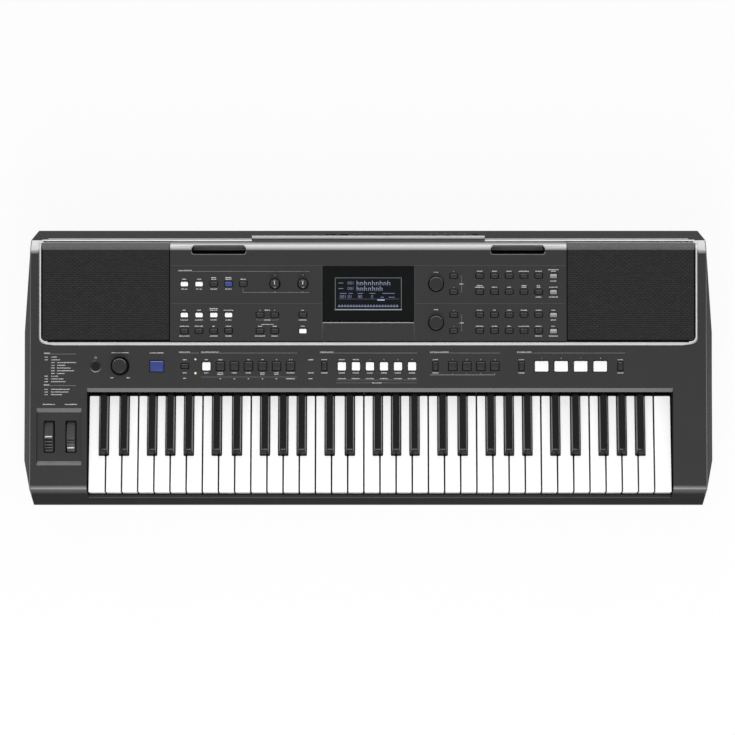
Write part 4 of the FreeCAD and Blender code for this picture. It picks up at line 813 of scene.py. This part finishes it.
# %% Painted shade in dark rings round the knobs, and the dish round the power button
ring = turned([(11.8, 0.02), (11.8, 0.1), (11.5, 0.14)])
small_ring = turned([(8.3, 0.02), (8.3, 0.1), (8.0, 0.14)])
rings = gather([copies(ring, [(DIAL, t) for t in DIAL_T.values()]),
                copies(small_ring, [(x, ROWS[2]) for x in CONTROL_X.values()])])
lay("knob_painted_gap_shade_rings", rings, on_upper, "near_black_and_painted_shade", "knob_plastic")
for name, profile, finish in (
    ("power_dish", [(8.8, 0.04), (8.65, 0.0), (7.9, -0.3)], "dish_grey"),
    ("power_dish_floor", [(7.9, -0.3), (7.5, -0.7), (6.1, -0.7)], "case_grey"),
):
    lay(name, copies(lined_ring(profile), [(POWER_X, LOWER_ROW)]), on_lower, finish, "case_plastic")

# %% Lower lamp and knob marks
lens = turned([(1.6, 0.1), (1.6, 0.3), (1.2, 0.6), (0.6, 0.75)], steps=24)
lens = copies(lens, [(-251.4, LOWER_ROW - 10.0)])
lay("lamp_lens_lower", lens, on_lower, "lamp_yellow", "lamp")
for node, x in CONTROL_X.items():
    loop = rounded_loop(0.9, 3.4, 0.27, 4) + [x, ROWS[2] + 0.6]
    mark = raised(loop, [(0.0, 10.6), (0.0, 11.5)])
    lay(node + "_mark", mark, on_upper, "mark_white", "button_white", node)

# %% [markdown]
# ## Wheels
# The pitch wheel springs back to its middle and carries a white line there; the modulation wheel stays
# where it is left. Both have a ribbed rim for the thumb. The rim is a surface over (angle, point across the
# width).

# %% Wheel rims
WHEEL_R = 28.0
WHEEL_N = -23.0
WHEEL_T = 75.5
PITCH_X, MOD_X = -464.0, -432.0
MARK_WIDTH = 1.3


def wheel_rim(x, ribs_from, ribs_to):
    """Radius 28 less 2.2 x (0.5 + 0.5 cos 36a)^3 between two angles; the rim's edges are rounded."""
    across = np.array([-6.0, -6.05, -5.7, -4.9, 0.0, 4.9, 5.7, 6.05, 6.0])
    drop = np.array([20.0, 1.6, 0.5, 0.0, 0.0, 0.0, 0.5, 1.6, 20.0])
    a = np.linspace(0.0, 2 * np.pi, 480, endpoint=False)
    inside = np.abs(np.angle(np.exp(1j * (a - (ribs_from + ribs_to) / 2)))) < (ribs_to - ribs_from) / 2
    ripple = 2.2 * inside * (0.5 + 0.5 * np.cos(36 * a)) ** 3
    r = WHEEL_R - drop[:, None] - ripple[None, :] * (drop[:, None] < 1.0)
    along = np.repeat((x + across)[:, None], len(a), axis=1)
    rings = np.stack([along, WHEEL_T + r * np.sin(a), WHEEL_N + r * np.cos(a)], axis=2)
    points, faces = stack(rings)
    return points, [face[::-1] for face in faces]


def wheel_mark(x, angle):
    """Bar across the rim at an angle from the top, towards the player."""
    a = -math.radians(angle)
    h = MARK_WIDTH / 2
    corners = np.array([(x + sx, sy, sz) for sz in (26.9, 28.12) for sx, sy in
                        ((-5.0, -h), (5.0, -h), (5.0, h), (-5.0, h))])
    y = corners[:, 1] * math.cos(a) + corners[:, 2] * math.sin(a)
    z = -corners[:, 1] * math.sin(a) + corners[:, 2] * math.cos(a)
    points = np.column_stack([corners[:, 0], WHEEL_T + y, WHEEL_N + z])
    return stack(points.reshape(2, 4, 3))


wheels = (("pitch_wheel", PITCH_X, 0.0, -1.2, -0.08), ("mod_wheel", MOD_X, 35.0, -0.35, -0.1))
for node, x, angle, low, high in wheels:
    rim = wheel_rim(x, low, high)
    lay(node + "_rim", rim, on_lower, "wheel_black", "wheel_plastic", node, stands_for=(node,))
    lay(node + "_mark", wheel_mark(x, angle), on_lower, "mark_white", "button_white", node)
# Near-black bars laid in four of the grooves: painted shade.
grooves = gather([wheel_mark(PITCH_X, angle) for angle in (10, 20, 30, 40)])
lay("pitch_wheel_painted_groove_shade", grooves, on_lower, "near_black_and_painted_shade", "wheel_plastic", "pitch_wheel")

# %% [markdown]
# ## Printing on the panels
# Beside the buttons the real panel has small printed words, lines and brackets. Words aren't copied here:
# each becomes a run of plain blocks of the same length. Numbers, arrows and signs are generic, so they are
# drawn. Everything is a thin layer that stands 0.05 mm proud of its panel.

# %% Print tools
rng = np.random.default_rng(61)
INK = 0.05


def flat_quads(boxes):
    """Rectangles (x0, t0, x1, t1) as quads at height INK."""
    b = np.vstack(boxes)
    corners = np.stack([b[:, [0, 1]], b[:, [2, 1]], b[:, [2, 3]], b[:, [0, 3]]], axis=1).reshape(-1, 2)
    points = np.column_stack([corners, np.full(len(corners), INK)])
    return points, np.arange(len(points)).reshape(-1, 4).tolist()


def words(x, t, width, height=1.35):
    """Blocks of about 1 mm with narrow gaps, centred on x, in place of printed letters."""
    count = max(2, int(round(width / 1.3)))
    left = x - width / 2 + np.arange(count) * width / count
    wide = width / count * rng.uniform(0.55, 0.85, count)
    high = height * rng.choice([0.75, 1.0, 1.0], count)
    return np.stack([left, np.full(count, t - height / 2), left + wide, t - height / 2 + high], axis=1)


def line(x0, t0, x1, t1, width=0.35):
    """Straight line along x or t."""
    h = width / 2
    return np.array([[min(x0, x1) - h, min(t0, t1) - h, max(x0, x1) + h, max(t0, t1) + h]])


def polygon(corners):
    corner = np.array(corners, dtype=float)
    return np.column_stack([corner, np.full(len(corner), INK)]), [list(range(len(corner)))]


def arrow(x, t, size, turn):
    """Triangle that points along angle turn in degrees."""
    a = np.radians(turn + np.array([0.0, 120.0, 240.0]))
    return polygon(np.column_stack([x + size * np.cos(a), t + size * np.sin(a)]))


def dot(x, t, radius):
    a = np.linspace(0.0, 2 * np.pi, 16, endpoint=False)
    return polygon(np.column_stack([x + radius * np.cos(a), t + radius * np.sin(a)]))


def numeral(text, x, t, size):
    """A number set in the built-in face, made a mesh, centred on its place."""
    curve = bpy.data.curves.new("numeral", "FONT")
    curve.body = text
    curve.size = size
    carrier = bpy.data.objects.new("numeral", curve)
    scene.collection.objects.link(carrier)
    bpy.context.view_layer.update()
    mesh = bpy.data.meshes.new_from_object(carrier)
    flat = np.zeros(len(mesh.vertices) * 3)
    mesh.vertices.foreach_get("co", flat)
    points = flat.reshape(-1, 3)
    faces = [list(p.vertices) for p in mesh.polygons]
    bpy.data.objects.remove(carrier)
    middle = (points.min(axis=0) + points.max(axis=0)) / 2
    points = points - middle + [x, t, INK]
    return points, faces


# %% Putting print on a panel


def add_print(name, word_boxes, line_boxes, signs, place):
    """Words and signs as one piece, lines in a softer ink as another."""
    print_shape = gather([flat_quads(word_boxes), *signs])
    lay(name + "_print", print_shape, place, "panel_ink", "button_grey")
    lay(name + "_lines", flat_quads(line_boxes), place, "panel_ink_soft", "button_grey")


# %% Upper panel: words over and under the buttons
OVER, UNDER, NEXT_LINE = 6.9, 7.3, 2.3
up_words = []
up_lines = []
up_signs = []


def label(x, t, above=(), below=None):
    """Words over a button, one or two lines, and words under it."""
    for i, width in enumerate(reversed(above)):
        up_words.append(words(x, t + OVER + NEXT_LINE * i, width))
    if below:
        up_words.append(words(x, t - UNDER, below))


left_labels = {
    2: (((6,), 9), ((6,), 9), ((7, 7), 10), ((9, 9), 9), ((8,), None)),
    4: (((5,), 11), ((6,), 12), ((12, 11), 9), ((14,), 9)),
    6: (((14,), 15), ((12,), None), ((4,), 11), ((8,), 9)),
}
for row, labels in left_labels.items():
    for i, (above, below) in enumerate(labels):
        label(LEFT + COLUMN * i, ROWS[row], above, below)
between = OCTAVE + COLUMN / 2
up_words += [words(between, ROWS[4] + OVER, 8), words(between, ROWS[4] - UNDER, 10)]
up_words.append(words(between, ROWS[6] + 9.6, 18, 1.1))
label(OCTAVE, ROWS[6], (6,), 15)
label(OCTAVE + COLUMN, ROWS[6], (6,), 10)
label(MENU, ROWS[4], (4,), 12)
label(MENU, ROWS[6], (6,))
up_words += [words(DIAL, ROWS[2] + 17.0, 7), words(DIAL, ROWS[5] + 19.2, 7)]

# %% Upper panel: signs and brackets
THIN, FINE = 0.25, 0.35
up_signs += [arrow(OCTAVE, ROWS[4] + OVER, 0.9, 270), arrow(OCTAVE + COLUMN, ROWS[4] + OVER, 0.9, 90)]
t = ROWS[4] - UNDER
ends = (OCTAVE - 5, OCTAVE + COLUMN + 5)
up_lines += [line(x, ROWS[4] - 5.8, x, t, THIN) for x in ends]
up_lines += [line(ends[0], t, OCTAVE + 4, t, THIN), line(OCTAVE + COLUMN - 4, t, ends[1], t, THIN)]
for row in (1, 3, 4, 6):
    t = ROWS[row]
    up_lines.append(line(SIDE - 0.8, t + 6.6, SIDE + 0.8, t + 6.6, FINE))
    if row in (1, 4):
        up_lines.append(line(SIDE, t + 5.8, SIDE, t + 7.4, FINE))
for low, high in ((ROWS[3], ROWS[1]), (ROWS[6], ROWS[4])):
    x = SIDE + 11.5
    middle = (low + high) / 2
    up_lines += [line(x, low, x, middle - 1.8, THIN), line(x, middle + 1.8, x, high, THIN)]
    up_lines += [line(x - 1.2, t, x, t, THIN) for t in (low, high)]
    up_words.append(words(x, middle, 6))

# %% Upper panel: voices and styles, and the knobs' group
right_labels = {
    1: ((8,), (7,), (8,), (15,), (9,), (15, 7)),
    3: ((8, 13), (8,), (6,), (7, 7), (5, 6), (12,)),
    4: ((8,), (4,), (6,), (9,), (9,), (6,)),
    6: ((11,), (8,), (6,), (16,), (9,), (6,)),
}
for row, tops in right_labels.items():
    for i, above in enumerate(tops):
        label(VOICE + COLUMN * i, ROWS[row], above)
for i, row, width in ((4, 3, 9), (5, 1, 9), (5, 3, 13), (5, 4, 8), (4, 6, 10), (5, 6, 13)):
    up_words.append(words(VOICE + i * COLUMN, ROWS[row] - UNDER, width))
up_words.append(words(-266.0, 106.6, 20, 1.0))
corners = [(-182.0, 80.9), (-182.0, 74.5), (-86.1, 74.5)]
for start, end in (((-276.4, 105.1), (-86.1, 105.1)), *zip(corners, corners[1:])):
    up_lines.append(line(*start, *end, 0.3))
for x in CONTROL_X.values():
    up_signs += [dot(x, ROWS[2] + 13.0, 0.7), dot(x, ROWS[2] - 12.0, 0.7)]
add_print("upper", up_words, up_lines, up_signs, on_upper)

# %% Lower panel: left part and transport
low_words = []
low_lines = []
low_signs = []
OVER_ROW = LOWER_ROW + 9.4
NUMBER_T, NUMBER_SIZE = LOWER_ROW + 9.6, 2.6


def low_print(*entries):
    """Words at (x, distance from the button row, width, height)."""
    low_words.extend(words(x, LOWER_ROW + up, *size) for x, up, *size in entries)


low_print((VOLUME_X, 19.6, 25), (ARTICULATION_X, 19.4, 21), (-372.5, -16.8, 4.5), (-349.0, -16.8, 4.5))
low_print((MODE_X, 9.4, 6), (MODE_X, -9.6, 6), (MODE_X, -17.5, 5))
heads = ((-275.0, -247.0, 16), (-243.3, -103.7, 26), (-70.2, 70.8, 20), (89.7, 191.5, 28), (216.2, 373.3, 21))
for x0, x1, width in heads:
    low_words.append(words(x0 + width / 2, 198.6, width, 1.2))
    low_lines.append(line(x0, 197.2, x1, 197.2, 0.3))
transport = TRANSPORT + SQUARE_PITCH * np.arange(7)
low_print(*[(x, -9.7, width) for x, width in zip(transport, (6, 8, 8, 8, 7, 7, 12))])
low_print(*[(x, -12.0, width, 1.2) for x, width in zip(transport[[1, 4, 5]], (9, 6, 6))])
low_lines.append(line(-243.3, LOWER_ROW - 15.7, -103.7, LOWER_ROW - 15.7, 0.2))
low_print(*[(x, -18.2, 2.0) for x in transport[1:6]], (transport[6], -18.2, 13))
low_print((transport[0], 9.4, 5), (transport[1], 9.4, 6))
for x, turn in ((transport[3], 180), (transport[4], 0)):
    low_signs += [arrow(x - 0.9, OVER_ROW, 1.0, turn), arrow(x + 0.9, OVER_ROW, 1.0, turn)]
low_lines.append(line(transport[5] - 0.4, OVER_ROW, transport[5] + 0.4, OVER_ROW, 1.3))
low_signs.append(arrow(transport[6] - 1.6, OVER_ROW, 1.0, 0))
low_lines.append(line(transport[6] + 1.4, OVER_ROW, transport[6] + 2.0, OVER_ROW, 1.2))
low_print((-83.6, 9.4, 8), (-83.6, -9.7, 8), (-83.6, -18.2, 6))
for x in NARROW_X:
    low_print((x, 9.6, 8), (x, -9.8, 9))

# %% Lower panel: tracks, registrations and pads
for i, x in enumerate(TRACK + SQUARE_PITCH * np.arange(6)):
    if i < 2:
        low_print((x, 9.6, 9))
    else:
        low_signs.append(numeral(str(i - 1), x, NUMBER_T, NUMBER_SIZE))
    low_print((x, -9.8, 9), (x, -18.0, 12, 1.2))
for t in (LOWER_ROW - 20.0, LOWER_ROW - 24.2):
    low_lines.append(line(-47.0, t, 70.8, t, 0.2))
low_print((12.6, -24.2, 14))
registers = REGISTER + SQUARE_PITCH * np.arange(4)
BRACKET_T = LOWER_ROW - 12.6
for i, x in enumerate(registers):
    low_signs.append(numeral(str(i + 1), x, NUMBER_T, NUMBER_SIZE))
    low_lines.append(line(x, BRACKET_T, x, LOWER_ROW - 9.6, FINE))
low_lines.append(line(90.0, BRACKET_T, registers[3], BRACKET_T, 0.55))
for i, x in enumerate(PADS + PAD_PITCH * np.arange(4)):
    low_signs.append(numeral(str(i + 1), x, NUMBER_T + 2.0, NUMBER_SIZE))

# %% Lower panel: power sign, wheel names and the list at the left
sweep = np.linspace(math.radians(125), math.radians(415), 24)
outer, inner = [np.column_stack([POWER_X + r * np.cos(sweep), LOWER_ROW + 12.6 + r * np.sin(sweep)])
                for r in (1.5, 1.1)]
low_signs.append(polygon(np.concatenate([outer, inner[::-1]])))
low_lines.append(line(POWER_X, LOWER_ROW + 13.2, POWER_X, LOWER_ROW + 14.6, FINE))
low_words += [words(PITCH_X, 122.5, 18), words(MOD_X, 122.5, 18)]
LIST_X = -471.6
down = (0.0, 5.7, 9.7, 13.7, 17.7, 21.6, 25.6, 29.6, 33.5, 37.5, 41.4, 45.9, 52.6, 56.5, 60.3)
widths = (9, 9, 13, 28, 12, 20, 25, 11, 10, 18, 21, 8, 27, 25, 16)
for i, (t, width) in enumerate(zip(197.0 - np.array(down), widths)):
    if i in (0, 11):
        low_words.append(words(LIST_X + width / 2, t, width))
        low_lines.append(line(LIST_X, t - 1.3, -425.0, t - 1.3, 0.3))
        continue
    first, second = (-461.0, -452.5) if 3 <= i <= 7 else (-470.6, -461.0)
    low_words += [words(first + 2.5, t, 5.0, 1.2), words(second + width / 2, t, width, 1.2)]
add_print("lower", low_words, low_lines, low_signs, on_lower)

# %% Plate below the display, and the seams of the panel
SEAM_X, SEAM_T = 67.2, (113.6, 58.4)
plate = raised(rounded_loop(132.6, 27.6, 0.6) + [0.0, 17.0], [(0.0, -0.1), (0.0, 0.1), (0.6, 0.5)])
lay("display_plate", plate, on_upper, "panel_grey", "panel_plastic", sharp=20)
seams = [line(x0, t, x1, t, 0.5) for t in SEAM_T for x0, x1 in ((-286.0, -SEAM_X), (SEAM_X, 286.0))]
seams += [line(x, 3.0, x, SEAM_T[0], 0.4) for x in (-SEAM_X, SEAM_X)]
lay("panel_seams", flat_quads(seams), on_upper, "seam_and_gap_shade_grey", "panel_plastic")

# %% Light bands on the function buttons, and a painted highlight along the large blue button's rear edge
CAP_TOP = 2.42
bands = flat_quads([(x - 4.2, t, x + 4.2, t + 2.6) for x, t in upper_groups["function_buttons"][-1]])
lay("function_buttons_bands", bands, on_upper, "cap_pale", "button_grey", "function_buttons", CAP_TOP + 0.02)
# A paler blue strip along the blue cap's rear edge: a painted highlight.
half = LARGE[0] / 2 - 1.5
edge_t = LOWER_ROW + LARGE[1] / 2 - 1.5
edge = flat_quads(line(ARTICULATION_X - half, edge_t, ARTICULATION_X + half, edge_t, 0.9))
node = "articulation_button"
lay(node + "_edge", edge, on_lower, "cap_blue_painted_highlight", "button_blue", node, CAP_TOP)

# %% Music-rest slots: painted shade in the depth, painted light on the pale back, and a thin rim
SLOT_X, SLOT_T, SLOT_SIZE, ROLL_FROM, ROLL_R = 217.3, 135.95, (79.0, 11.7), 135.3, 13.0
SLOT_FLOOR = -15.95
BACK_T, BACK_END, BACK_HALF = 136.8, 141.6, 37.0


def on_roll(loop):
    """Points on the panel: level up to ROLL_FROM, then n = -(R - sqrt(R^2 - (t - ROLL_FROM)^2))."""
    run = np.clip(loop[:, 1] - ROLL_FROM, 0.0, 0.99 * ROLL_R)
    return np.column_stack([loop, 0.06 - ROLL_R + np.sqrt(ROLL_R ** 2 - run ** 2)])


rims, backs, floors = [], [], []
for x in (-SLOT_X, SLOT_X):
    edges = [on_roll(rounded_loop(SLOT_SIZE[0] + more, SLOT_SIZE[1] + more, radius) + [x, SLOT_T])
             for more, radius in ((1.2, 3.6), (-0.2, 2.9))]
    points, faces = stack(np.stack(edges))
    rims.append((points, faces[:-2]))
    floors.append((x - 39.3, 130.2, x + 39.3, BACK_T))
    left, right = x - BACK_HALF, x + BACK_HALF
    low = [(left, BACK_T, SLOT_FLOOR), (right, BACK_T, SLOT_FLOOR)]
    foot = [(right, BACK_END, SLOT_FLOOR), (left, BACK_END, SLOT_FLOOR)]
    high = [(right, BACK_END, -2.0), (left, BACK_END, -2.0)]
    backs += [(np.array(quad), [[0, 1, 2, 3]]) for quad in (low + foot, foot[::-1] + high)]
lay("slot_rims", gather(rims), on_upper, "rim_grey", "panel_plastic")
# The pale back is painted light; the near-black floor is painted shade.
lay("slot_backs_painted_light", gather(backs), on_upper, "rim_grey", "panel_plastic")
lay("slot_floors_painted_shade", flat_quads(floors), on_upper, "near_black_and_painted_shade", "panel_plastic", rise=SLOT_FLOOR)

# %% [markdown]
# ## Edges that catch the light
# The photograph shows thin dark gaps round the grilles, bright beads along the rear and light creases on
# the case. Each is a narrow band through a few points (y, z), drawn out along X and laid just above the
# solid.
# The dark bands are painted shade in the gaps; the light creases, the rail's edge and the block fronts carry
# painted highlights, the trim's front partly so; the crests and rounds get theirs from gloss.

# %% Painted shade in the gaps round the grilles
GAP_X, PANEL_X = 474.2, 289.0
GRILLE_R, GRILLE_N = 12.3, -1.9


def strip(x0, x1, edges):
    """Band along X through points (y, z), as quads from edge to edge."""
    y, z = np.array(edges, dtype=float).T
    rows = np.stack([np.column_stack([np.full(len(y), x), y, z]) for x in (x0, x1)], axis=1).reshape(-1, 3)
    return rows, [[2 * i, 2 * i + 1, 2 * i + 3, 2 * i + 2] for i in range(len(y) - 1)]


gaps = []
for side in (-1, 1):
    outer, inner = side * GAP_X, side * PANEL_X
    for t0, t1 in ((12.0, ROLL_FROM), (ROLL_FROM, 138.0), (138.0, 140.0), (140.0, 142.0), (142.0, 143.5)):
        gaps += [line(outer, t0, outer, t1, 1.9), line(inner, t0, inner, t1, 1.5)]
    gaps += [line(inner, 4.6, inner, 12.0, 1.5), line(side * 290.0, 5.0, side * 466.0, 5.0, 1.0)]
points, faces = flat_quads(gaps)
run = np.clip(points[:, 1] - ROLL_FROM, 0.0, 12.0)
points[:, 2] = GRILLE_N - GRILLE_R + np.sqrt(GRILLE_R ** 2 - run ** 2)
# Near-black bands on the grille's edges: painted shade in the gaps.
lay("grille_painted_gap_shade", (points, faces), on_upper, "near_black_and_painted_shade", "grille")

# %% Painted shade in the gap, and beads along the rear edge
MIDDLE_X, PANEL_END = 170.0, 287.0


def add_strips(name, bands, finish, slot="case_plastic"):
    """Bands (x0, x1, points) as one piece of the case."""
    add_piece(name, gather([strip(*band) for band in bands]), finish, "case", slot)


def chamfer_z(y):
    """Height of the case's rear chamfer, which falls by 0.598 per mm."""
    return 115.6 + 0.598 * (170.0 - y)


behind = [(y, chamfer_z(y) + 0.15) for y in (167.3, 169.4)]
deep = [behind[1], (171.2, 115.1), (173.4, 115.05)]
bead = [(169.4, chamfer_z(169.4) + 0.3), (171.8, 114.9)]
middle_bead = [(173.4, 115.3), (175.8, 116.0)]
# Near-black bands at the sides and grey ones in the middle lie in the gap before the bead: painted shade.
add_strips("rear_painted_gap_shade", [(-474.0, -PANEL_END, behind), (PANEL_END, 474.0, behind)], "near_black_and_painted_shade")
add_strips("rear_middle_painted_gap_shade", [(-PANEL_END, PANEL_END, behind), (-MIDDLE_X, MIDDLE_X, deep)], "seam_and_gap_shade_grey")
beads = [(-476.0, -170.2, bead), (170.2, 476.0, bead), (-169.8, 169.8, middle_bead)]
add_strips("rear_bead_fronts", beads, "silver_trim", "silver_trim")

# %% Painted highlights along the creases, and crests at both ends
CREASE_X = (491.0, 492.2)
crease = [(-204.6, 19.0), (-190.6, 79.0), (-189.0, 80.0), (19.0, 105.8), (148.0, 126.0), (156.0, 124.3),
          (170.0, 115.9)]
crest = [(149.0, 126.1), (152.5, 125.7), (156.0, 124.6), (169.6, 116.3)]
add_strips("side_crease_painted_highlights", [(s * CREASE_X[0], s * CREASE_X[1], crease) for s in (-1, 1)], "painted_highlight_grey")
add_strips("end_crests", [(s * 480.2, s * CREASE_X[0], crest) for s in (-1, 1)], "crest_grey")

# %% Front of the trim frame in pale grey, partly its silver and partly painted highlight, and painted shade in the gap behind it
LIP_X = 456.0
lip_line = [(19.8, 111.4), (18.6, 107.4), (16.9, 105.7)]
lips = [strip(-LIP_X, LIP_X, lip_line)]
for side in (-1, 1):
    points, faces = strip(side * 470.0, side * LIP_X, lip_line)
    points[4] = points[2] + [0.0, -0.3, -0.1]
    lips.append((points, faces))
add_piece("trim_lip", gather(lips), "lip_silver_and_painted_highlight", "case", "silver_trim")
# Near-black bands in the gap between the trim's lip and the panels: painted shade.
low, high = (20.1, 111.5), (22.0, 112.6)
gaps = [(-PANEL_END, PANEL_END, [(21.4, 113.2), low]), (-466.0, -PANEL_END, [high, low]),
        (PANEL_END, 466.0, [high, low])]
add_strips("panel_front_painted_gap_shade", gaps, "near_black_and_painted_shade", "panel_plastic")

# %% Fronts of the end blocks with a painted highlight fading down them, and a painted highlight on the rail's edge
BLOCKS = ((-491.0, -409.3), (443.3, 491.0))
tilts = np.radians(np.linspace(LOWER_TILT, 76.4, 15))
block_line = np.column_stack([-182.71 - 9.2 * np.sin(tilts), 71.34 + 9.2 * np.cos(tilts)])
painted_sheen_line = [block_line[-1], (-195.4, 58.0)]
add_strips("block_rounds", [(*block, block_line) for block in BLOCKS], "round_grey")
# The fade strips carry a painted highlight, light near the rounded edge and dark lower down.
add_strips("block_painted_sheens", [(*block, painted_sheen_line) for block in BLOCKS], "front_painted_sheen")
# A light strip along the rail's front edge: a painted highlight.
add_strips("rail_edge_painted_highlight", [(-408.5, 442.0, [(-199.0, 43.9), (-198.1, 44.08)])], "painted_highlight_grey")

# %% [markdown]
# ## Display
# Behind the clear window lies a dark field with the LCD in it: a thin frame, and on the cell two lines of
# letter-like strokes, numbers, small bars and a row of keys. They glow faintly, as a lit LCD does.

# %% LCD field and frame
LCD_N = -2.1
CONTENT_N = LCD_N + 0.16
LCD_LEFT, LCD_RIGHT, LCD_LOW, LCD_HIGH = -48.0, 48.0, 49.6, 95.8


def add_lcd(name, boxes, rise, finish, signs=()):
    """Rectangles and signs on the display at one height."""
    lay(name, gather([flat_quads(boxes), *signs]), on_upper, finish, "lcd", rise=rise)


add_lcd("window_mask", [(-66.45, 31.95, 66.9, 112.85)], LCD_N + 0.1, "mask_black")
add_lcd("lcd_field", [(LCD_LEFT, LCD_LOW, LCD_RIGHT, LCD_HIGH)], LCD_N + 0.13, "lcd_black")
bezel = [
    line(LCD_LEFT, LCD_HIGH, LCD_RIGHT, LCD_HIGH, 0.9), line(LCD_LEFT, LCD_LOW, LCD_RIGHT, LCD_LOW, 1.5),
    line(LCD_LEFT, LCD_LOW, LCD_LEFT, LCD_HIGH, 0.9), line(LCD_RIGHT, LCD_LOW, LCD_RIGHT, LCD_HIGH, 0.9),
]
add_lcd("lcd_bezel", bezel, CONTENT_N, "lcd_frame")
add_lcd("lcd_lip", line(LCD_LEFT, LCD_LOW, LCD_RIGHT, LCD_LOW, 1.3), CONTENT_N + 0.1, "lcd_lip")

# %% LCD content
TEXT_T = (88.3, 80.3)
content = []
for t, count in zip(TEXT_T, (9, 7)):
    for i in range(count):
        x = -16.5 + 5.6 * i
        content.append(line(x, t - 3.0, x, t + 3.0 - 2.0 * (i % 2), 0.5))
        content += [line(x, t + 0.6, x + 3.0, t + 0.6, 0.4), line(x + 3.0, t - 3.0, x + 3.0, t + 0.6, 0.5)]
content.append(line(14.0, 63.6, 23.0, 63.6, 1.5))
add_lcd("lcd_content", content, CONTENT_N, "lcd_glow")
content = [line(-43.0, t, -37.0, t, 1.0) for t in TEXT_T]
words_at = ((-41, 9), (-28, 5), (-15, 7), (2, 8), (21, 17))
content += [line(x, 73.2, x + wide, 73.2, 0.9) for x, wide in words_at]
content += [line(18.0, 67.6, 22.0, 67.6, 0.9), line(30.0, 67.6, 38.0, 67.6, 0.9)]
content.append(line(-43.0, 65.0, 45.0, 65.0, 0.3))
for x in 4.2 * np.arange(21):
    content.append(np.array([[x - 44.0, 53.4, x - 40.4, 55.0], [x - 43.2, 55.0, x - 41.2, 56.6]]))
numbers = [("001", -26.0, TEXT_T[0]), ("001", -26.0, TEXT_T[1]), ("001 01", -33.0, 68.6), ("80", -12.0, 68.6),
           ("0", 5.5, 68.6)]
signs = [numeral(text, x, t, 6.5) for text, x, t in numbers]
add_lcd("lcd_small_content", content, CONTENT_N, "lcd_dim", signs)
